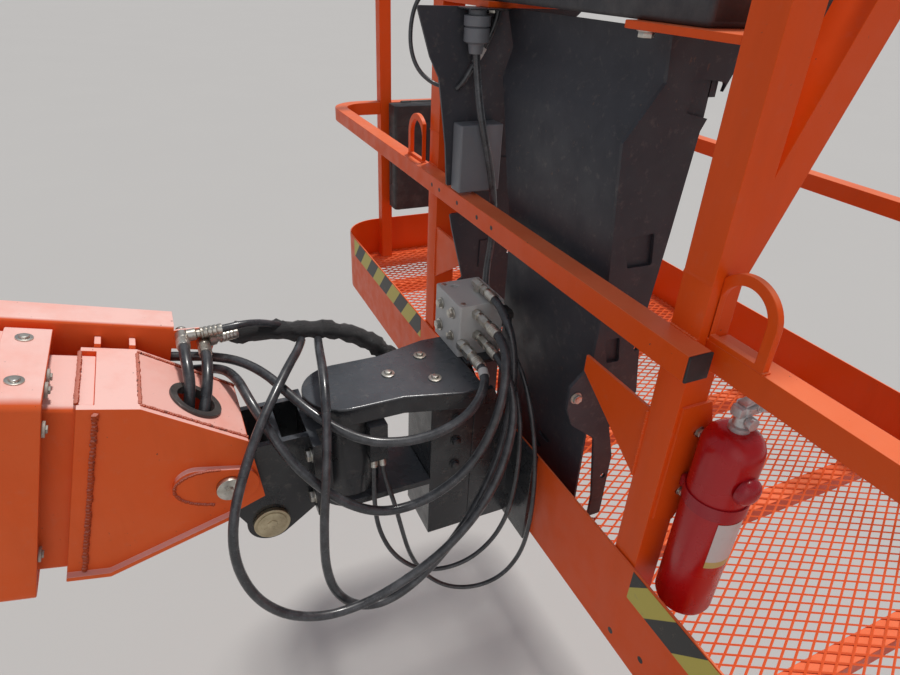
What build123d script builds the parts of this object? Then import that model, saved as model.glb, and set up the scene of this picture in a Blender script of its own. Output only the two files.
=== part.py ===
from build123d import *

import os
from math import cos, radians, sin, tan

# Boom end of a telescopic boom lift: the tip of the telescopic boom, the levelling head, the
# rotator and the work platform with its control console.
# Millimetres, +Z up. The origin is the centre of the cut rear end of the middle boom section, and
# +X is the boom's horizontal direction. "along" and "rise" are measured along the pitched boom and
# square to it. Platform places are measured from the floor's centre line at the outer face of the
# boom-side toe board.

os.makedirs("parts", exist_ok=True)

RUN = 0.3                  # gap that seats one piece by another
PIN_PLAY = 0.05            # radial play of a pin in its bore

# Boom sections
BOOM_PITCH = 15            # degrees below the horizontal
MID_LENGTH = 750
MID_WIDTH = 203
MID_HEIGHT = 356
MID_WALL = 6
MID_CORNER = 16
COLLAR_LENGTH = 62
COLLAR_PLATE = 6
FLY_LAP = 690              # length of the fly section that stays inside
FLY_LENGTH = 750
FLY_WIDTH = 152
FLY_HEIGHT = 305
FLY_WALL = 5
FLY_CORNER = 12
PAD_LENGTH = 80
PAD_SETBACK = 12
SIDE_PAD_HEIGHT = 70
SIDE_PAD_RISE = 95
FLAT_PAD_WIDTH = 50
FLAT_PAD_SIDE = 38

# Nose of the fly section: outline as (ahead of the tube's end, rise)
FLY_REAR = MID_LENGTH - FLY_LAP
FLY_END = FLY_REAR + FLY_LENGTH
NOSE_PLATE = 12
NOSE_LAP = 22
NOSE_TOP = 157
NOSE_TOP_PLATE = 10
NOSE_SLOPE_START = (FLY_END + 58, 157)
NOSE_SLOPE_END = (FLY_END + 218, 95)
NOSE_FRONT_LOW = (FLY_END + 262, -20)
NOSE_BOTTOM_END = (FLY_END + 213, -54)
NOSE_BOTTOM_START = (FLY_END + 39, -154)
NOSE_LIP = 12              # width of the lip along the lower edges
NOSE_LIP_PLATE = 8
PIN_ALONG = FLY_END + 198
PIN_RISE = 14
PIN_RADIUS = 20
BOSS_REAR = 68
BOSS_FRONT = 30
BOSS_RADIUS = 34
BOSS_PLATE = 10
PIN_PROUD = 6
GROMMET_ALONG = FLY_END + 141
GROMMET_SIDE = -18
GROMMET_BORE_RADIUS = 31
GROMMET_HOLE_RADIUS = 36
GROMMET_FLANGE_RADIUS = 43
GROMMET_FLANGE = 5

# Hose channel beside the boom
CHANNEL_WIDTH = 64
CHANNEL_HEIGHT = 152
CHANNEL_WALL = 4
CHANNEL_SIDE = 114
CHANNEL_TOP = 189
CHANNEL_REAR = 30
CHANNEL_FRONT = FLY_END + 113
UNION_PLACES = ((-588, 380), (-556, 360))
UNION_RADIUS = 11
UNION_NECK = 8
UNION_START = 92
UNION_END = 126
BRACKET_PLATE = 10
BRACKET_ALONGS = (FLY_END - 4, FLY_END + 46)

# Levelling cylinder inside the fly section
BARREL_PIN_ALONG = FLY_REAR + 328
BARREL_PIN_RISE = -20
BARREL_RADIUS = 38
BARREL_LENGTH = 430
BARREL_PIN_RADIUS = 16
BARREL_EYE_RADIUS = 34
BARREL_EYE_WIDTH = 50
ROD_RADIUS = 22
ROD_TAIL = 300
ROD_EYE_RADIUS = 30
ROD_EYE_WIDTH = 46
BARREL_FLOOR = 50

# Support that pivots on the nose and carries the rotator
DECK_AHEAD = 560           # platform's boom side ahead of the levelling pin
DECK_BELOW = 207           # platform floor below the levelling pin
LOWER_PIN = (60, -136)     # ahead of the levelling pin, and above it
LOWER_PIN_RADIUS = 19
LOWER_PIN_HEAD = 32
LOWER_PIN_FLANGE = 9
LOWER_PIN_PLAY = 2
ARM_PLATE = 12
ARM_SIDE = 50
ARM_EYE_RADIUS = 45
FOOT_X = -420
FOOT_PLATE = 15
FOOT_WIDTH = 176
FOOT_BOTTOM = 78
FOOT_TOP = 238
WEB_AHEAD = 100

# Rotator
ROTATOR_X = -340
HOUSING_RADIUS = 60
HOUSING_BOTTOM = 75
HOUSING_TOP = 270
SHAFT_RADIUS = 30
SHAFT_FLANGE_RADIUS = 48
TURN_GAP = 2
PORT_WIDTH = 34
PORT_DEPTH = 26
PORT_HEIGHT = 80

# Platform side of the rotator
CAP_TOP = 287
CAP_PLATE = 8
CAP_RADIUS = 74
CAP_WAIST_X = -250
CAP_RIGHT_X = -100
CAP_RIGHT_HALF = 100
CAP_SKIRT = 36
CAP_EDGE = 4
LOWER_PLATE_TOP = 66
LOWER_PLATE = 14
COLUMN_REAR_X = -190
COLUMN_FRONT_X = -100
COLUMN_WIDTH = 120
COLUMN_WALL = 8
COLUMN_BOTTOM = -92
MOUNT_PLATE = 12
MOUNT_HALF = 150
MOUNT_HOLE = (-52, 20)
MOUNT_HOLE_RADIUS = 13

# Platform
DECK_DEPTH = 914
DECK_WIDTH = 2438
DECK_CORNER = 130
TOE_TOP = 130
TOE_BOTTOM = -70
TOE_SHEET = 4
FLOOR_SHEET = 4
GRID_X = 7
GRID_Y = 12
GRID_PITCH_X = 120
GRID_PITCH_Y = 197
GRID_WEB = 16
FRAME_TUBE = 38
FRAME_PITCH = 315
RAIL = 38
RAIL_WALL = 3
RAIL_CORNER = 90
MID_RAIL_TOP = 550
TOP_RAIL_TOP = 1119
FRONT_RAIL_X = -14
SIDE_RAIL_X = 39
FAR_RAIL_X = DECK_DEPTH - 39
END_RAIL_Y = DECK_WIDTH / 2 - 39
POST = 50
POST_X = 30
POST_Y = 410
FRONT_RAIL_END = -460
BRACE_FOOT_Z = 625
BRACE_LEAN = 22            # degrees inwards from the post
NEAR_POST_X = 155          # from the boom side to the gate posts and end posts
FAR_POST_SETBACK = 154     # from the far side to them
GATE_POST_X = (NEAR_POST_X, DECK_DEPTH - FAR_POST_SETBACK)
FAR_POST_Y = (-400, 800)
END_POST_X = (NEAR_POST_X, DECK_DEPTH - FAR_POST_SETBACK)
CONSOLE_RAIL_END = 270

# Lanyard loops
LOOP_RADIUS = 50
LOOP_BAND = 15
LOOP_NECK = 55             # straight height below the round top
LOOP_MIDDLE = 38           # from the post's face to the ring's middle
LOOP_PLATE = 10

# Gussets that tie the boom-side posts to the console support
GUSSET_PLATE = 6
GUSSET_TOP = 410
GUSSET_ROOT = 280
GUSSET_TIP_Y = 230

# Console support and console
SUPPORT_SIDE_Y = 220
SUPPORT_PLATE = 6
SUPPORT_TOP = 885
SUPPORT_CORNER = 4
PANEL_SHEET = 4
PANEL_BENDS = [(45, 20), (39, 444), (27, 585), (34, 774), (62, 822), (58, SUPPORT_TOP)]
PANEL_SIDE = 100
PANEL_TOP_SIDE = 214
PANEL_STEP = (155, 735)    # where the panel starts to widen towards its top
PANEL_STEP_LOW = 560
PANEL_SLOT = 36
PANEL_SLOTS = ((-100, 130), (-75, 100), (-50, 70))
SHELF_Z = 890
SHELF_PLATE = 10
SHELF_DEPTH = 170
SHELF_INNER = 190
CONSOLE_DEPTH = 220
CONSOLE_HEIGHT = 190
CONSOLE_WIDTH = 640
CONSOLE_EDGE = 8
CONSOLE_X = 20
CONSOLE_LIP = 80           # height of its far face
CONSOLE_TOP_X = 60         # where its top starts to slope
MODULE_SIZE = (90, 40, 130)
MODULE_EDGE = 4
MODULE_PLACE = (5, 622)      # along the depth, and above the floor

# Valve block
VALVE_MIN = (-108, 10, 287)
VALVE_SIZE = (96, 114, 110)
VALVE_PLATE = 8
VALVE_PLATE_MIDDLE = (-60, 60)
VALVE_PLATE_SIZE = (80, 150)
VALVE_EDGE = 3
VALVE_SOCKET = (-78, 100)
SOCKET_RADIUS = 7
SOCKET_DEPTH = 6
COIL = 30
COIL_NUT = 6
COIL_PLACES = ((40, 345), (88, 345))

# Fire extinguisher
BOTTLE_X = 66
BOTTLE_Y = -485.8
BOTTLE_BOTTOM = 96
BOTTLE_RADIUS = 43
BOTTLE_HEIGHT = 335
BOTTLE_SHOULDER = 30
BOTTLE_FOOT = 8
BRACKET_FACE = -(POST_Y + POST / 2 + 5) - RUN
BRACKET_SLOT = 22
BRACKET_SLOTS = ((50, 285), (52, 395))
NECK_RADIUS = 14
NECK_HEIGHT = 30
LEVER_WIDTH = 20
LEVER_LOW = ((-18, 26), (70, 20), (82, 12), (84, 17), (72, 27), (18, 38), (-18, 38))   # about the bottle's top
LEVER_HIGH = ((-18, 34), (-6, 46), (78, 66), (80, 61), (10, 34))
BAND_LEVEL = 300
BAND_HEIGHT = 22
BAND_SHEET = 2
BAND_BLOCK = (40, 64)

# Document box
BOX_X = (158, 402)
BOX_Z = (205, 550)
BOX_DEPTH = 70
BOX_WALL = 4
BOX_LID = 62
BOX_GAP = 10                # between the box and the end rails
BOX_STRAPS = (220, 350)
BOX_STRAP = 4
BOX_STRAP_WIDTH = 30
BOX_REACH = BOX_GAP - RUN
BOX_KNUCKLE = 5
BOX_PIN = 2.5
BOX_NOTCH = 7              # half height of the notches that clear the straps' eyes
BOX_CORNER = 12

# Gate at the end of the platform
GATE_TUBE = 32
GATE_HINGE_X = GATE_POST_X[1] - 36
GATE_HINGE_Y = 22 - END_RAIL_Y
GATE_X = (GATE_POST_X[0] + 35, GATE_POST_X[1] - 56)
GATE_BOTTOM = 510

PITCH = radians(BOOM_PITCH)


def boom(along, side, rise):
    """Return the point at a place along the pitched boom."""
    return Vector(along * cos(PITCH) + rise * sin(PITCH), side, rise * cos(PITCH) - along * sin(PITCH))


PIN = boom(PIN_ALONG, 0, PIN_RISE)
DECK = Vector(PIN.X + DECK_AHEAD, 0, PIN.Z - DECK_BELOW)


def deck(x, y, z):
    """Return the point at a place on the platform."""
    return DECK + Vector(x, y, z)


BOOM_SIDE = Plane(origin=(0, 0, 0), x_dir=boom(1, 0, 0), z_dir=(0, -1, 0))
DECK_TOP = Plane(origin=DECK)
DECK_SIDE = Plane(origin=DECK, x_dir=(1, 0, 0), z_dir=(0, -1, 0))
DECK_FRONT = Plane(origin=DECK, x_dir=(0, 1, 0), z_dir=(1, 0, 0))
PIN_SIDE = Plane(origin=PIN, x_dir=(1, 0, 0), z_dir=(0, -1, 0))


def boom_section(along):
    """Return the plane square to the boom, with the side and the rise as its axes."""
    return Plane(origin=boom(along, 0, 0), x_dir=(0, 1, 0), z_dir=boom(1, 0, 0))


def write(piece, name):
    """Label a finished piece and write its STEP file."""
    piece.part.label = name
    export_step(piece.part, f"parts/{name}.step")


# Middle boom section with its collar and wear pads
with BuildPart() as mid_boom_tube:
    with BuildSketch(boom_section(0)):
        RectangleRounded(MID_WIDTH, MID_HEIGHT, MID_CORNER)
        RectangleRounded(MID_WIDTH - 2 * MID_WALL, MID_HEIGHT - 2 * MID_WALL, MID_CORNER - MID_WALL,
                         mode=Mode.SUBTRACT)
    extrude(amount=MID_LENGTH)
write(mid_boom_tube, "mid_boom_tube")

with BuildPart() as mid_boom_collar:
    with BuildSketch(boom_section(MID_LENGTH - COLLAR_LENGTH)):
        RectangleRounded(MID_WIDTH + 2 * COLLAR_PLATE, MID_HEIGHT + 2 * COLLAR_PLATE,
                         MID_CORNER + COLLAR_PLATE)
        RectangleRounded(MID_WIDTH, MID_HEIGHT, MID_CORNER, mode=Mode.SUBTRACT)
    extrude(amount=COLLAR_LENGTH)
write(mid_boom_collar, "mid_boom_collar")

SIDE_PAD = (MID_WIDTH - FLY_WIDTH) / 2 - MID_WALL - RUN
FLAT_PAD = (MID_HEIGHT - FLY_HEIGHT) / 2 - MID_WALL - RUN


def wear_pads(along, side_middle, flat_middle):
    """Fill the gap between the two boom sections with pads, on their four sides."""
    with BuildPart() as pads:
        with BuildSketch(boom_section(along)):
            with GridLocations(2 * side_middle, 2 * SIDE_PAD_RISE, 2, 2):
                Rectangle(SIDE_PAD, SIDE_PAD_HEIGHT)
            with GridLocations(2 * FLAT_PAD_SIDE, 2 * flat_middle, 2, 2):
                Rectangle(FLAT_PAD_WIDTH, FLAT_PAD)
        extrude(amount=PAD_LENGTH)
    return pads


write(wear_pads(MID_LENGTH - PAD_SETBACK - PAD_LENGTH, MID_WIDTH / 2 - MID_WALL - SIDE_PAD / 2,
                MID_HEIGHT / 2 - MID_WALL - FLAT_PAD / 2), "front_wear_pads")

# Fly section with its rear pads
with BuildPart() as fly_boom_tube:
    with BuildSketch(boom_section(FLY_REAR)):
        RectangleRounded(FLY_WIDTH, FLY_HEIGHT, FLY_CORNER)
        RectangleRounded(FLY_WIDTH - 2 * FLY_WALL, FLY_HEIGHT - 2 * FLY_WALL, FLY_CORNER - FLY_WALL,
                         mode=Mode.SUBTRACT)
    extrude(amount=FLY_LENGTH)
write(fly_boom_tube, "fly_boom_tube")
write(wear_pads(FLY_REAR + PAD_SETBACK, FLY_WIDTH / 2 + SIDE_PAD / 2, FLY_HEIGHT / 2 + FLAT_PAD / 2),
      "rear_wear_pads")

# Nose: two side plates with oval bosses, closed above by a flat and a sloping plate
NOSE_HALF = FLY_WIDTH / 2 + NOSE_PLATE
NOSE_LAP_START = FLY_END - NOSE_LAP
SLOPE = Vector(*NOSE_SLOPE_END) - Vector(*NOSE_SLOPE_START)
SLOPE_PLANE = Plane(
    origin=boom(NOSE_SLOPE_START[0], 0, NOSE_SLOPE_START[1]),
    x_dir=boom(SLOPE.X, 0, SLOPE.Y),
    z_dir=boom(-SLOPE.Y, 0, SLOPE.X),
)
GROMMET_REACH = (GROMMET_ALONG - NOSE_SLOPE_START[0]) * SLOPE.length / SLOPE.X
with BuildPart() as fly_nose:
    with BuildSketch(BOOM_SIDE.offset(-NOSE_HALF)):
        with BuildLine():
            Polyline((NOSE_LAP_START, NOSE_TOP), NOSE_SLOPE_START, NOSE_SLOPE_END, NOSE_FRONT_LOW,
                     NOSE_BOTTOM_END, NOSE_BOTTOM_START, (NOSE_LAP_START, NOSE_BOTTOM_START[1]), close=True)
        make_face()
        with Locations((PIN_ALONG, PIN_RISE)):
            Circle(PIN_RADIUS, mode=Mode.SUBTRACT)
    extrude(amount=2 * NOSE_HALF)
    with BuildSketch(BOOM_SIDE.offset(-FLY_WIDTH / 2)):
        with BuildLine():
            Polyline((0, -NOSE_TOP - NOSE_TOP_PLATE), (0, NOSE_TOP), (FLY_END, NOSE_TOP),
                     (FLY_END, NOSE_TOP - NOSE_TOP_PLATE),
                     (NOSE_SLOPE_START[0], NOSE_SLOPE_START[1] - NOSE_TOP_PLATE),
                     (NOSE_SLOPE_END[0], NOSE_SLOPE_END[1] - NOSE_TOP_PLATE),
                     (NOSE_FRONT_LOW[0] + NOSE_PLATE, NOSE_SLOPE_END[1] - NOSE_TOP_PLATE),
                     (NOSE_FRONT_LOW[0] + NOSE_PLATE, -NOSE_TOP - NOSE_TOP_PLATE), close=True)
        make_face()
    extrude(amount=FLY_WIDTH, mode=Mode.SUBTRACT)
    with BuildSketch(BOOM_SIDE.offset(-NOSE_HALF - BOSS_PLATE)):
        with Locations((PIN_ALONG + (BOSS_FRONT - BOSS_REAR) / 2, PIN_RISE)):
            SlotOverall(BOSS_FRONT + BOSS_REAR + BOSS_RADIUS, 2 * BOSS_RADIUS)
        with Locations((PIN_ALONG, PIN_RISE)):
            Circle(PIN_RADIUS, mode=Mode.SUBTRACT)
    extrude(amount=BOSS_PLATE)
    with BuildSketch(BOOM_SIDE.offset(-NOSE_HALF - NOSE_LIP)):
        with BuildLine():
            Polyline((NOSE_LAP_START, NOSE_BOTTOM_START[1]), NOSE_BOTTOM_START, NOSE_BOTTOM_END,
                     (NOSE_BOTTOM_END[0] - 4, NOSE_BOTTOM_END[1] + NOSE_LIP_PLATE - 1),
                     (NOSE_BOTTOM_START[0] - 2, NOSE_BOTTOM_START[1] + NOSE_LIP_PLATE),
                     (NOSE_LAP_START, NOSE_BOTTOM_START[1] + NOSE_LIP_PLATE), close=True)
        make_face()
    extrude(amount=NOSE_LIP)
    mirror(about=Plane.XZ)
    with BuildSketch(SLOPE_PLANE.offset(GROMMET_FLANGE)):
        with Locations((GROMMET_REACH, GROMMET_SIDE)):
            Circle(GROMMET_HOLE_RADIUS)
    extrude(amount=-3 * NOSE_TOP_PLATE, mode=Mode.SUBTRACT)
write(fly_nose, "fly_nose")

with BuildPart() as hose_grommet:
    with BuildSketch(SLOPE_PLANE):
        with Locations((GROMMET_REACH, GROMMET_SIDE)):
            Circle(GROMMET_FLANGE_RADIUS)
            Circle(GROMMET_BORE_RADIUS, mode=Mode.SUBTRACT)
    extrude(amount=GROMMET_FLANGE)
    with BuildSketch(SLOPE_PLANE):
        with Locations((GROMMET_REACH, GROMMET_SIDE)):
            Circle(GROMMET_HOLE_RADIUS)
            Circle(GROMMET_BORE_RADIUS, mode=Mode.SUBTRACT)
    extrude(amount=-NOSE_TOP_PLATE)
write(hose_grommet, "hose_grommet")

with BuildPart() as level_pivot_pin:
    with BuildSketch(PIN_SIDE.offset(-NOSE_HALF - BOSS_PLATE - PIN_PROUD)):
        Circle(PIN_RADIUS - PIN_PLAY)
    extrude(amount=2 * (NOSE_HALF + BOSS_PLATE + PIN_PROUD))
write(level_pivot_pin, "level_pivot_pin")

# Hose channel and the plates that hold it on the nose
with BuildPart() as hose_channel:
    with BuildSketch(boom_section(CHANNEL_REAR)):
        with Locations((CHANNEL_SIDE + CHANNEL_WIDTH / 2, CHANNEL_TOP - CHANNEL_HEIGHT / 2)):
            RectangleRounded(CHANNEL_WIDTH, CHANNEL_HEIGHT, 2 * CHANNEL_WALL)
            RectangleRounded(CHANNEL_WIDTH - 2 * CHANNEL_WALL, CHANNEL_HEIGHT - 2 * CHANNEL_WALL,
                             CHANNEL_WALL, mode=Mode.SUBTRACT)
    extrude(amount=CHANNEL_FRONT - CHANNEL_REAR)
    with BuildSketch(BOOM_SIDE.offset(-CHANNEL_SIDE - CHANNEL_WALL)):
        with BuildLine():
            Polyline((CHANNEL_FRONT - 20, CHANNEL_TOP - 12), (CHANNEL_FRONT + 40, CHANNEL_TOP),
                     (CHANNEL_FRONT + 70, CHANNEL_TOP - 14), (CHANNEL_FRONT + 66, 146), (CHANNEL_FRONT - 20, 146),
                     close=True)
        make_face()
    extrude(amount=CHANNEL_WALL)
    with BuildSketch(DECK_SIDE.offset(-CHANNEL_SIDE - CHANNEL_WALL)):
        with Locations(*UNION_PLACES):
            Circle(UNION_NECK)
    extrude(amount=CHANNEL_WALL, mode=Mode.SUBTRACT)
write(hose_channel, "hose_channel")

# Unions in the channel's lug, where the two levelling hoses start
with BuildPart() as channel_fittings:
    for low, high, radius in ((UNION_START, CHANNEL_SIDE - RUN, UNION_RADIUS),
                              (CHANNEL_SIDE - RUN, CHANNEL_SIDE + CHANNEL_WALL + RUN, UNION_NECK - PIN_PLAY),
                              (CHANNEL_SIDE + CHANNEL_WALL + RUN, UNION_END, UNION_RADIUS)):
        with BuildSketch(DECK_SIDE.offset(-high)):
            with Locations(*UNION_PLACES):
                Circle(radius)
        extrude(amount=high - low)
write(channel_fittings, "channel_fittings")

with BuildPart() as channel_bracket:
    for along in BRACKET_ALONGS:
        with BuildSketch(boom_section(along)):
            with Locations(((NOSE_HALF + CHANNEL_SIDE) / 2, CHANNEL_TOP - CHANNEL_HEIGHT / 2)):
                Rectangle(CHANNEL_SIDE - NOSE_HALF, CHANNEL_HEIGHT - 50)
        extrude(amount=BRACKET_PLATE)
write(channel_bracket, "channel_bracket")

# Levelling cylinder: its barrel turns on a pin in the fly section and its rod's eye lies between
# the support's arms
LOWER = PIN + Vector(LOWER_PIN[0], 0, LOWER_PIN[1])
BARREL_PIN = boom(BARREL_PIN_ALONG, 0, BARREL_PIN_RISE)
CYLINDER = (LOWER - BARREL_PIN).normalized()
CYLINDER_LENGTH = (LOWER - BARREL_PIN).length
CYLINDER_SIDE = Plane(origin=BARREL_PIN, x_dir=CYLINDER, z_dir=(0, -1, 0))


def cylinder_section(reach):
    """Return the plane square to the levelling cylinder."""
    return Plane(origin=BARREL_PIN + CYLINDER * reach, x_dir=(0, 1, 0), z_dir=CYLINDER)


with BuildPart() as level_barrel:
    with BuildSketch(cylinder_section(BARREL_FLOOR)):
        Circle(BARREL_RADIUS)
    extrude(amount=BARREL_LENGTH - BARREL_FLOOR)
    with BuildSketch(CYLINDER_SIDE.offset(-BARREL_EYE_WIDTH / 2)):
        Circle(BARREL_EYE_RADIUS)
        with Locations((BARREL_FLOOR / 2, 0)):
            Rectangle(BARREL_FLOOR, BARREL_EYE_RADIUS)
    extrude(amount=BARREL_EYE_WIDTH)
    with BuildSketch(CYLINDER_SIDE.offset(-BARREL_EYE_WIDTH / 2)):
        Circle(BARREL_PIN_RADIUS)
    extrude(amount=BARREL_EYE_WIDTH, mode=Mode.SUBTRACT)
    with BuildSketch(cylinder_section(BARREL_LENGTH)):
        Circle(ROD_RADIUS + PIN_PLAY)
    extrude(amount=-(BARREL_LENGTH - BARREL_FLOOR - 20), mode=Mode.SUBTRACT)
write(level_barrel, "level_barrel")

with BuildPart() as barrel_pin:
    with BuildSketch(CYLINDER_SIDE.offset(-FLY_WIDTH / 2 + FLY_WALL)):
        Circle(BARREL_PIN_RADIUS - PIN_PLAY)
    extrude(amount=FLY_WIDTH - 2 * FLY_WALL)
write(barrel_pin, "barrel_pin")

with BuildPart() as level_rod:
    with BuildSketch(cylinder_section(CYLINDER_LENGTH - ROD_EYE_RADIUS / 2)):
        Circle(ROD_RADIUS)
    extrude(amount=-(CYLINDER_LENGTH - ROD_EYE_RADIUS / 2 - ROD_TAIL))
    with BuildSketch(CYLINDER_SIDE.offset(-ROD_EYE_WIDTH / 2)):
        with Locations((CYLINDER_LENGTH, 0)):
            Circle(ROD_EYE_RADIUS)
    extrude(amount=ROD_EYE_WIDTH)
write(level_rod, "level_rod")

# Support bracket: two arms on the levelling pin, a web between them and a foot for the rotator
FOOT_AHEAD = FOOT_X + DECK_AHEAD
with BuildPart() as support_bracket:
    with BuildSketch(PIN_SIDE.offset(-ARM_SIDE - ARM_PLATE)):
        with BuildLine():
            Polyline((-10, ARM_EYE_RADIUS - 10), (FOOT_AHEAD, 36), (FOOT_AHEAD, FOOT_BOTTOM - DECK_BELOW),
                     (LOWER_PIN[0] + 22, LOWER_PIN[1] - 36), (LOWER_PIN[0] - 32, LOWER_PIN[1] - 10),
                     (-36, -20), close=True)
        make_face()
        Circle(ARM_EYE_RADIUS)
        with Locations(LOWER_PIN):
            Circle(ARM_EYE_RADIUS - 3)
    extrude(amount=ARM_PLATE)
    with BuildSketch(PIN_SIDE.offset(-ARM_SIDE - ARM_PLATE)):
        Circle(PIN_RADIUS)
    extrude(amount=ARM_PLATE, mode=Mode.SUBTRACT)
    mirror(about=Plane.XZ)
    with BuildSketch(PIN_SIDE.offset(-ARM_SIDE)):
        with BuildLine():
            Polyline((WEB_AHEAD - 16, 34), (WEB_AHEAD - 4, 34), (WEB_AHEAD + 12, -60), (WEB_AHEAD, -60), close=True)
        make_face()
    extrude(amount=2 * ARM_SIDE)
    with BuildSketch(DECK_FRONT.offset(FOOT_X)):
        with Locations((0, (FOOT_BOTTOM + FOOT_TOP) / 2)):
            Rectangle(FOOT_WIDTH, FOOT_TOP - FOOT_BOTTOM)
    extrude(amount=FOOT_PLATE)
write(support_bracket, "support_bracket")

with BuildPart() as lower_pin_stubs:
    with BuildSketch(PIN_SIDE.offset(ROD_EYE_WIDTH / 2 + LOWER_PIN_PLAY)):
        with Locations(LOWER_PIN):
            Circle(LOWER_PIN_RADIUS)
    extrude(amount=ARM_SIDE - ROD_EYE_WIDTH / 2 - LOWER_PIN_PLAY)
    with BuildSketch(PIN_SIDE.offset(ARM_SIDE + ARM_PLATE)):
        with Locations(LOWER_PIN):
            Circle(LOWER_PIN_HEAD)
    extrude(amount=LOWER_PIN_FLANGE)
    mirror(about=Plane.XZ)
write(lower_pin_stubs, "lower_pin_stubs")

# Rotator: a housing on the support's foot, with the platform's shaft through it
with BuildPart() as rotator_housing:
    with BuildSketch(DECK_TOP.offset(HOUSING_BOTTOM)):
        with Locations((ROTATOR_X, 0)):
            Circle(HOUSING_RADIUS)
    extrude(amount=HOUSING_TOP - HOUSING_BOTTOM)
    with BuildSketch(DECK_TOP.offset(FOOT_BOTTOM)):
        with Locations(((FOOT_X + FOOT_PLATE + ROTATOR_X) / 2, 0)):
            Rectangle(ROTATOR_X - FOOT_X - FOOT_PLATE, 90)
    extrude(amount=FOOT_TOP - FOOT_BOTTOM)
    with BuildSketch(DECK_TOP.offset(HOUSING_BOTTOM)):
        with Locations((ROTATOR_X, 0)):
            Circle(SHAFT_RADIUS)
    extrude(amount=HOUSING_TOP - HOUSING_BOTTOM, mode=Mode.SUBTRACT)
write(rotator_housing, "rotator_housing")

with BuildPart() as rotator_ports:
    with Locations(deck(ROTATOR_X + 40, -(HOUSING_RADIUS + 6), 200)):
        Box(PORT_WIDTH, PORT_DEPTH, PORT_HEIGHT)
    with BuildSketch(DECK_TOP.offset(100)):
        with Locations((ROTATOR_X, 0)):
            Circle(HOUSING_RADIUS)
    extrude(amount=HOUSING_TOP, mode=Mode.SUBTRACT)
write(rotator_ports, "rotator_ports")

with BuildPart() as rotator_shaft:
    with BuildSketch(DECK_TOP.offset(LOWER_PLATE_TOP)):
        with Locations((ROTATOR_X, 0)):
            Circle(SHAFT_RADIUS - PIN_PLAY)
    extrude(amount=CAP_TOP - CAP_PLATE - LOWER_PLATE_TOP)
    for low, high in ((LOWER_PLATE_TOP, HOUSING_BOTTOM - TURN_GAP), (HOUSING_TOP + TURN_GAP, CAP_TOP - CAP_PLATE)):
        with BuildSketch(DECK_TOP.offset(low)):
            with Locations((ROTATOR_X, 0)):
                Circle(SHAFT_FLANGE_RADIUS)
        extrude(amount=high - low)
write(rotator_shaft, "rotator_shaft")


def cap_outline(inset):
    """Draw the cap plate's outline: round over the rotator, wider and open at the column."""
    with BuildLine() as edge:
        Polyline((ROTATOR_X, CAP_RADIUS - inset), (CAP_WAIST_X, CAP_RADIUS - inset),
                 (CAP_RIGHT_X - 50, CAP_RIGHT_HALF - inset), (CAP_RIGHT_X + inset, CAP_RIGHT_HALF - inset),
                 (CAP_RIGHT_X + inset, inset - CAP_RIGHT_HALF), (CAP_RIGHT_X - 50, inset - CAP_RIGHT_HALF),
                 (CAP_WAIST_X, inset - CAP_RADIUS), (ROTATOR_X, inset - CAP_RADIUS), close=True)
    make_face(edge.edges())
    with Locations((ROTATOR_X, 0)):
        Circle(CAP_RADIUS - inset)


with BuildPart() as cap_plate:
    with BuildSketch(DECK_TOP.offset(CAP_TOP - CAP_SKIRT)):
        cap_outline(0)
    extrude(amount=CAP_SKIRT)
    with BuildSketch(DECK_TOP.offset(CAP_TOP - CAP_SKIRT)):
        cap_outline(CAP_PLATE)
    extrude(amount=CAP_SKIRT - CAP_PLATE, mode=Mode.SUBTRACT)
    fillet(cap_plate.edges().group_by(Axis.Z)[-1], CAP_EDGE)
write(cap_plate, "cap_plate")

with BuildPart() as lower_plate:
    with BuildSketch(DECK_TOP.offset(LOWER_PLATE_TOP - LOWER_PLATE)):
        with Locations(((ROTATOR_X + COLUMN_REAR_X) / 2, 0)):
            Rectangle(COLUMN_REAR_X - ROTATOR_X, 130)
        with Locations((ROTATOR_X, 0)):
            Circle(65)
    extrude(amount=LOWER_PLATE)
write(lower_plate, "lower_plate")

COLUMN_DEPTH = COLUMN_FRONT_X - COLUMN_REAR_X
with BuildPart() as rotator_column:
    with BuildSketch(DECK_TOP.offset(COLUMN_BOTTOM)):
        with Locations(((COLUMN_REAR_X + COLUMN_FRONT_X) / 2, 0)):
            Rectangle(COLUMN_DEPTH, COLUMN_WIDTH)
            Rectangle(COLUMN_DEPTH - 2 * COLUMN_WALL, COLUMN_WIDTH - 2 * COLUMN_WALL, mode=Mode.SUBTRACT)
    extrude(amount=CAP_TOP - CAP_PLATE - COLUMN_BOTTOM)
write(rotator_column, "rotator_column")

with BuildPart() as mount_plates:
    with BuildSketch(DECK_FRONT.offset(-MOUNT_PLATE)):
        with Locations((0, (TOE_TOP + COLUMN_BOTTOM) / 2)):
            Rectangle(2 * MOUNT_HALF, TOE_TOP - COLUMN_BOTTOM)
    extrude(amount=MOUNT_PLATE)
    with BuildSketch(DECK_SIDE.offset(COLUMN_WIDTH / 2 - MOUNT_PLATE)):
        with BuildLine():
            Polyline((COLUMN_FRONT_X, 250), (-60, 250), (-MOUNT_PLATE, TOE_TOP), (-MOUNT_PLATE, COLUMN_BOTTOM),
                     (COLUMN_FRONT_X, COLUMN_BOTTOM), close=True)
        make_face()
        with Locations(MOUNT_HOLE):
            Circle(MOUNT_HOLE_RADIUS, mode=Mode.SUBTRACT)
    extrude(amount=MOUNT_PLATE)
    mirror(about=Plane.XZ)
write(mount_plates, "mount_plates")

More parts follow.
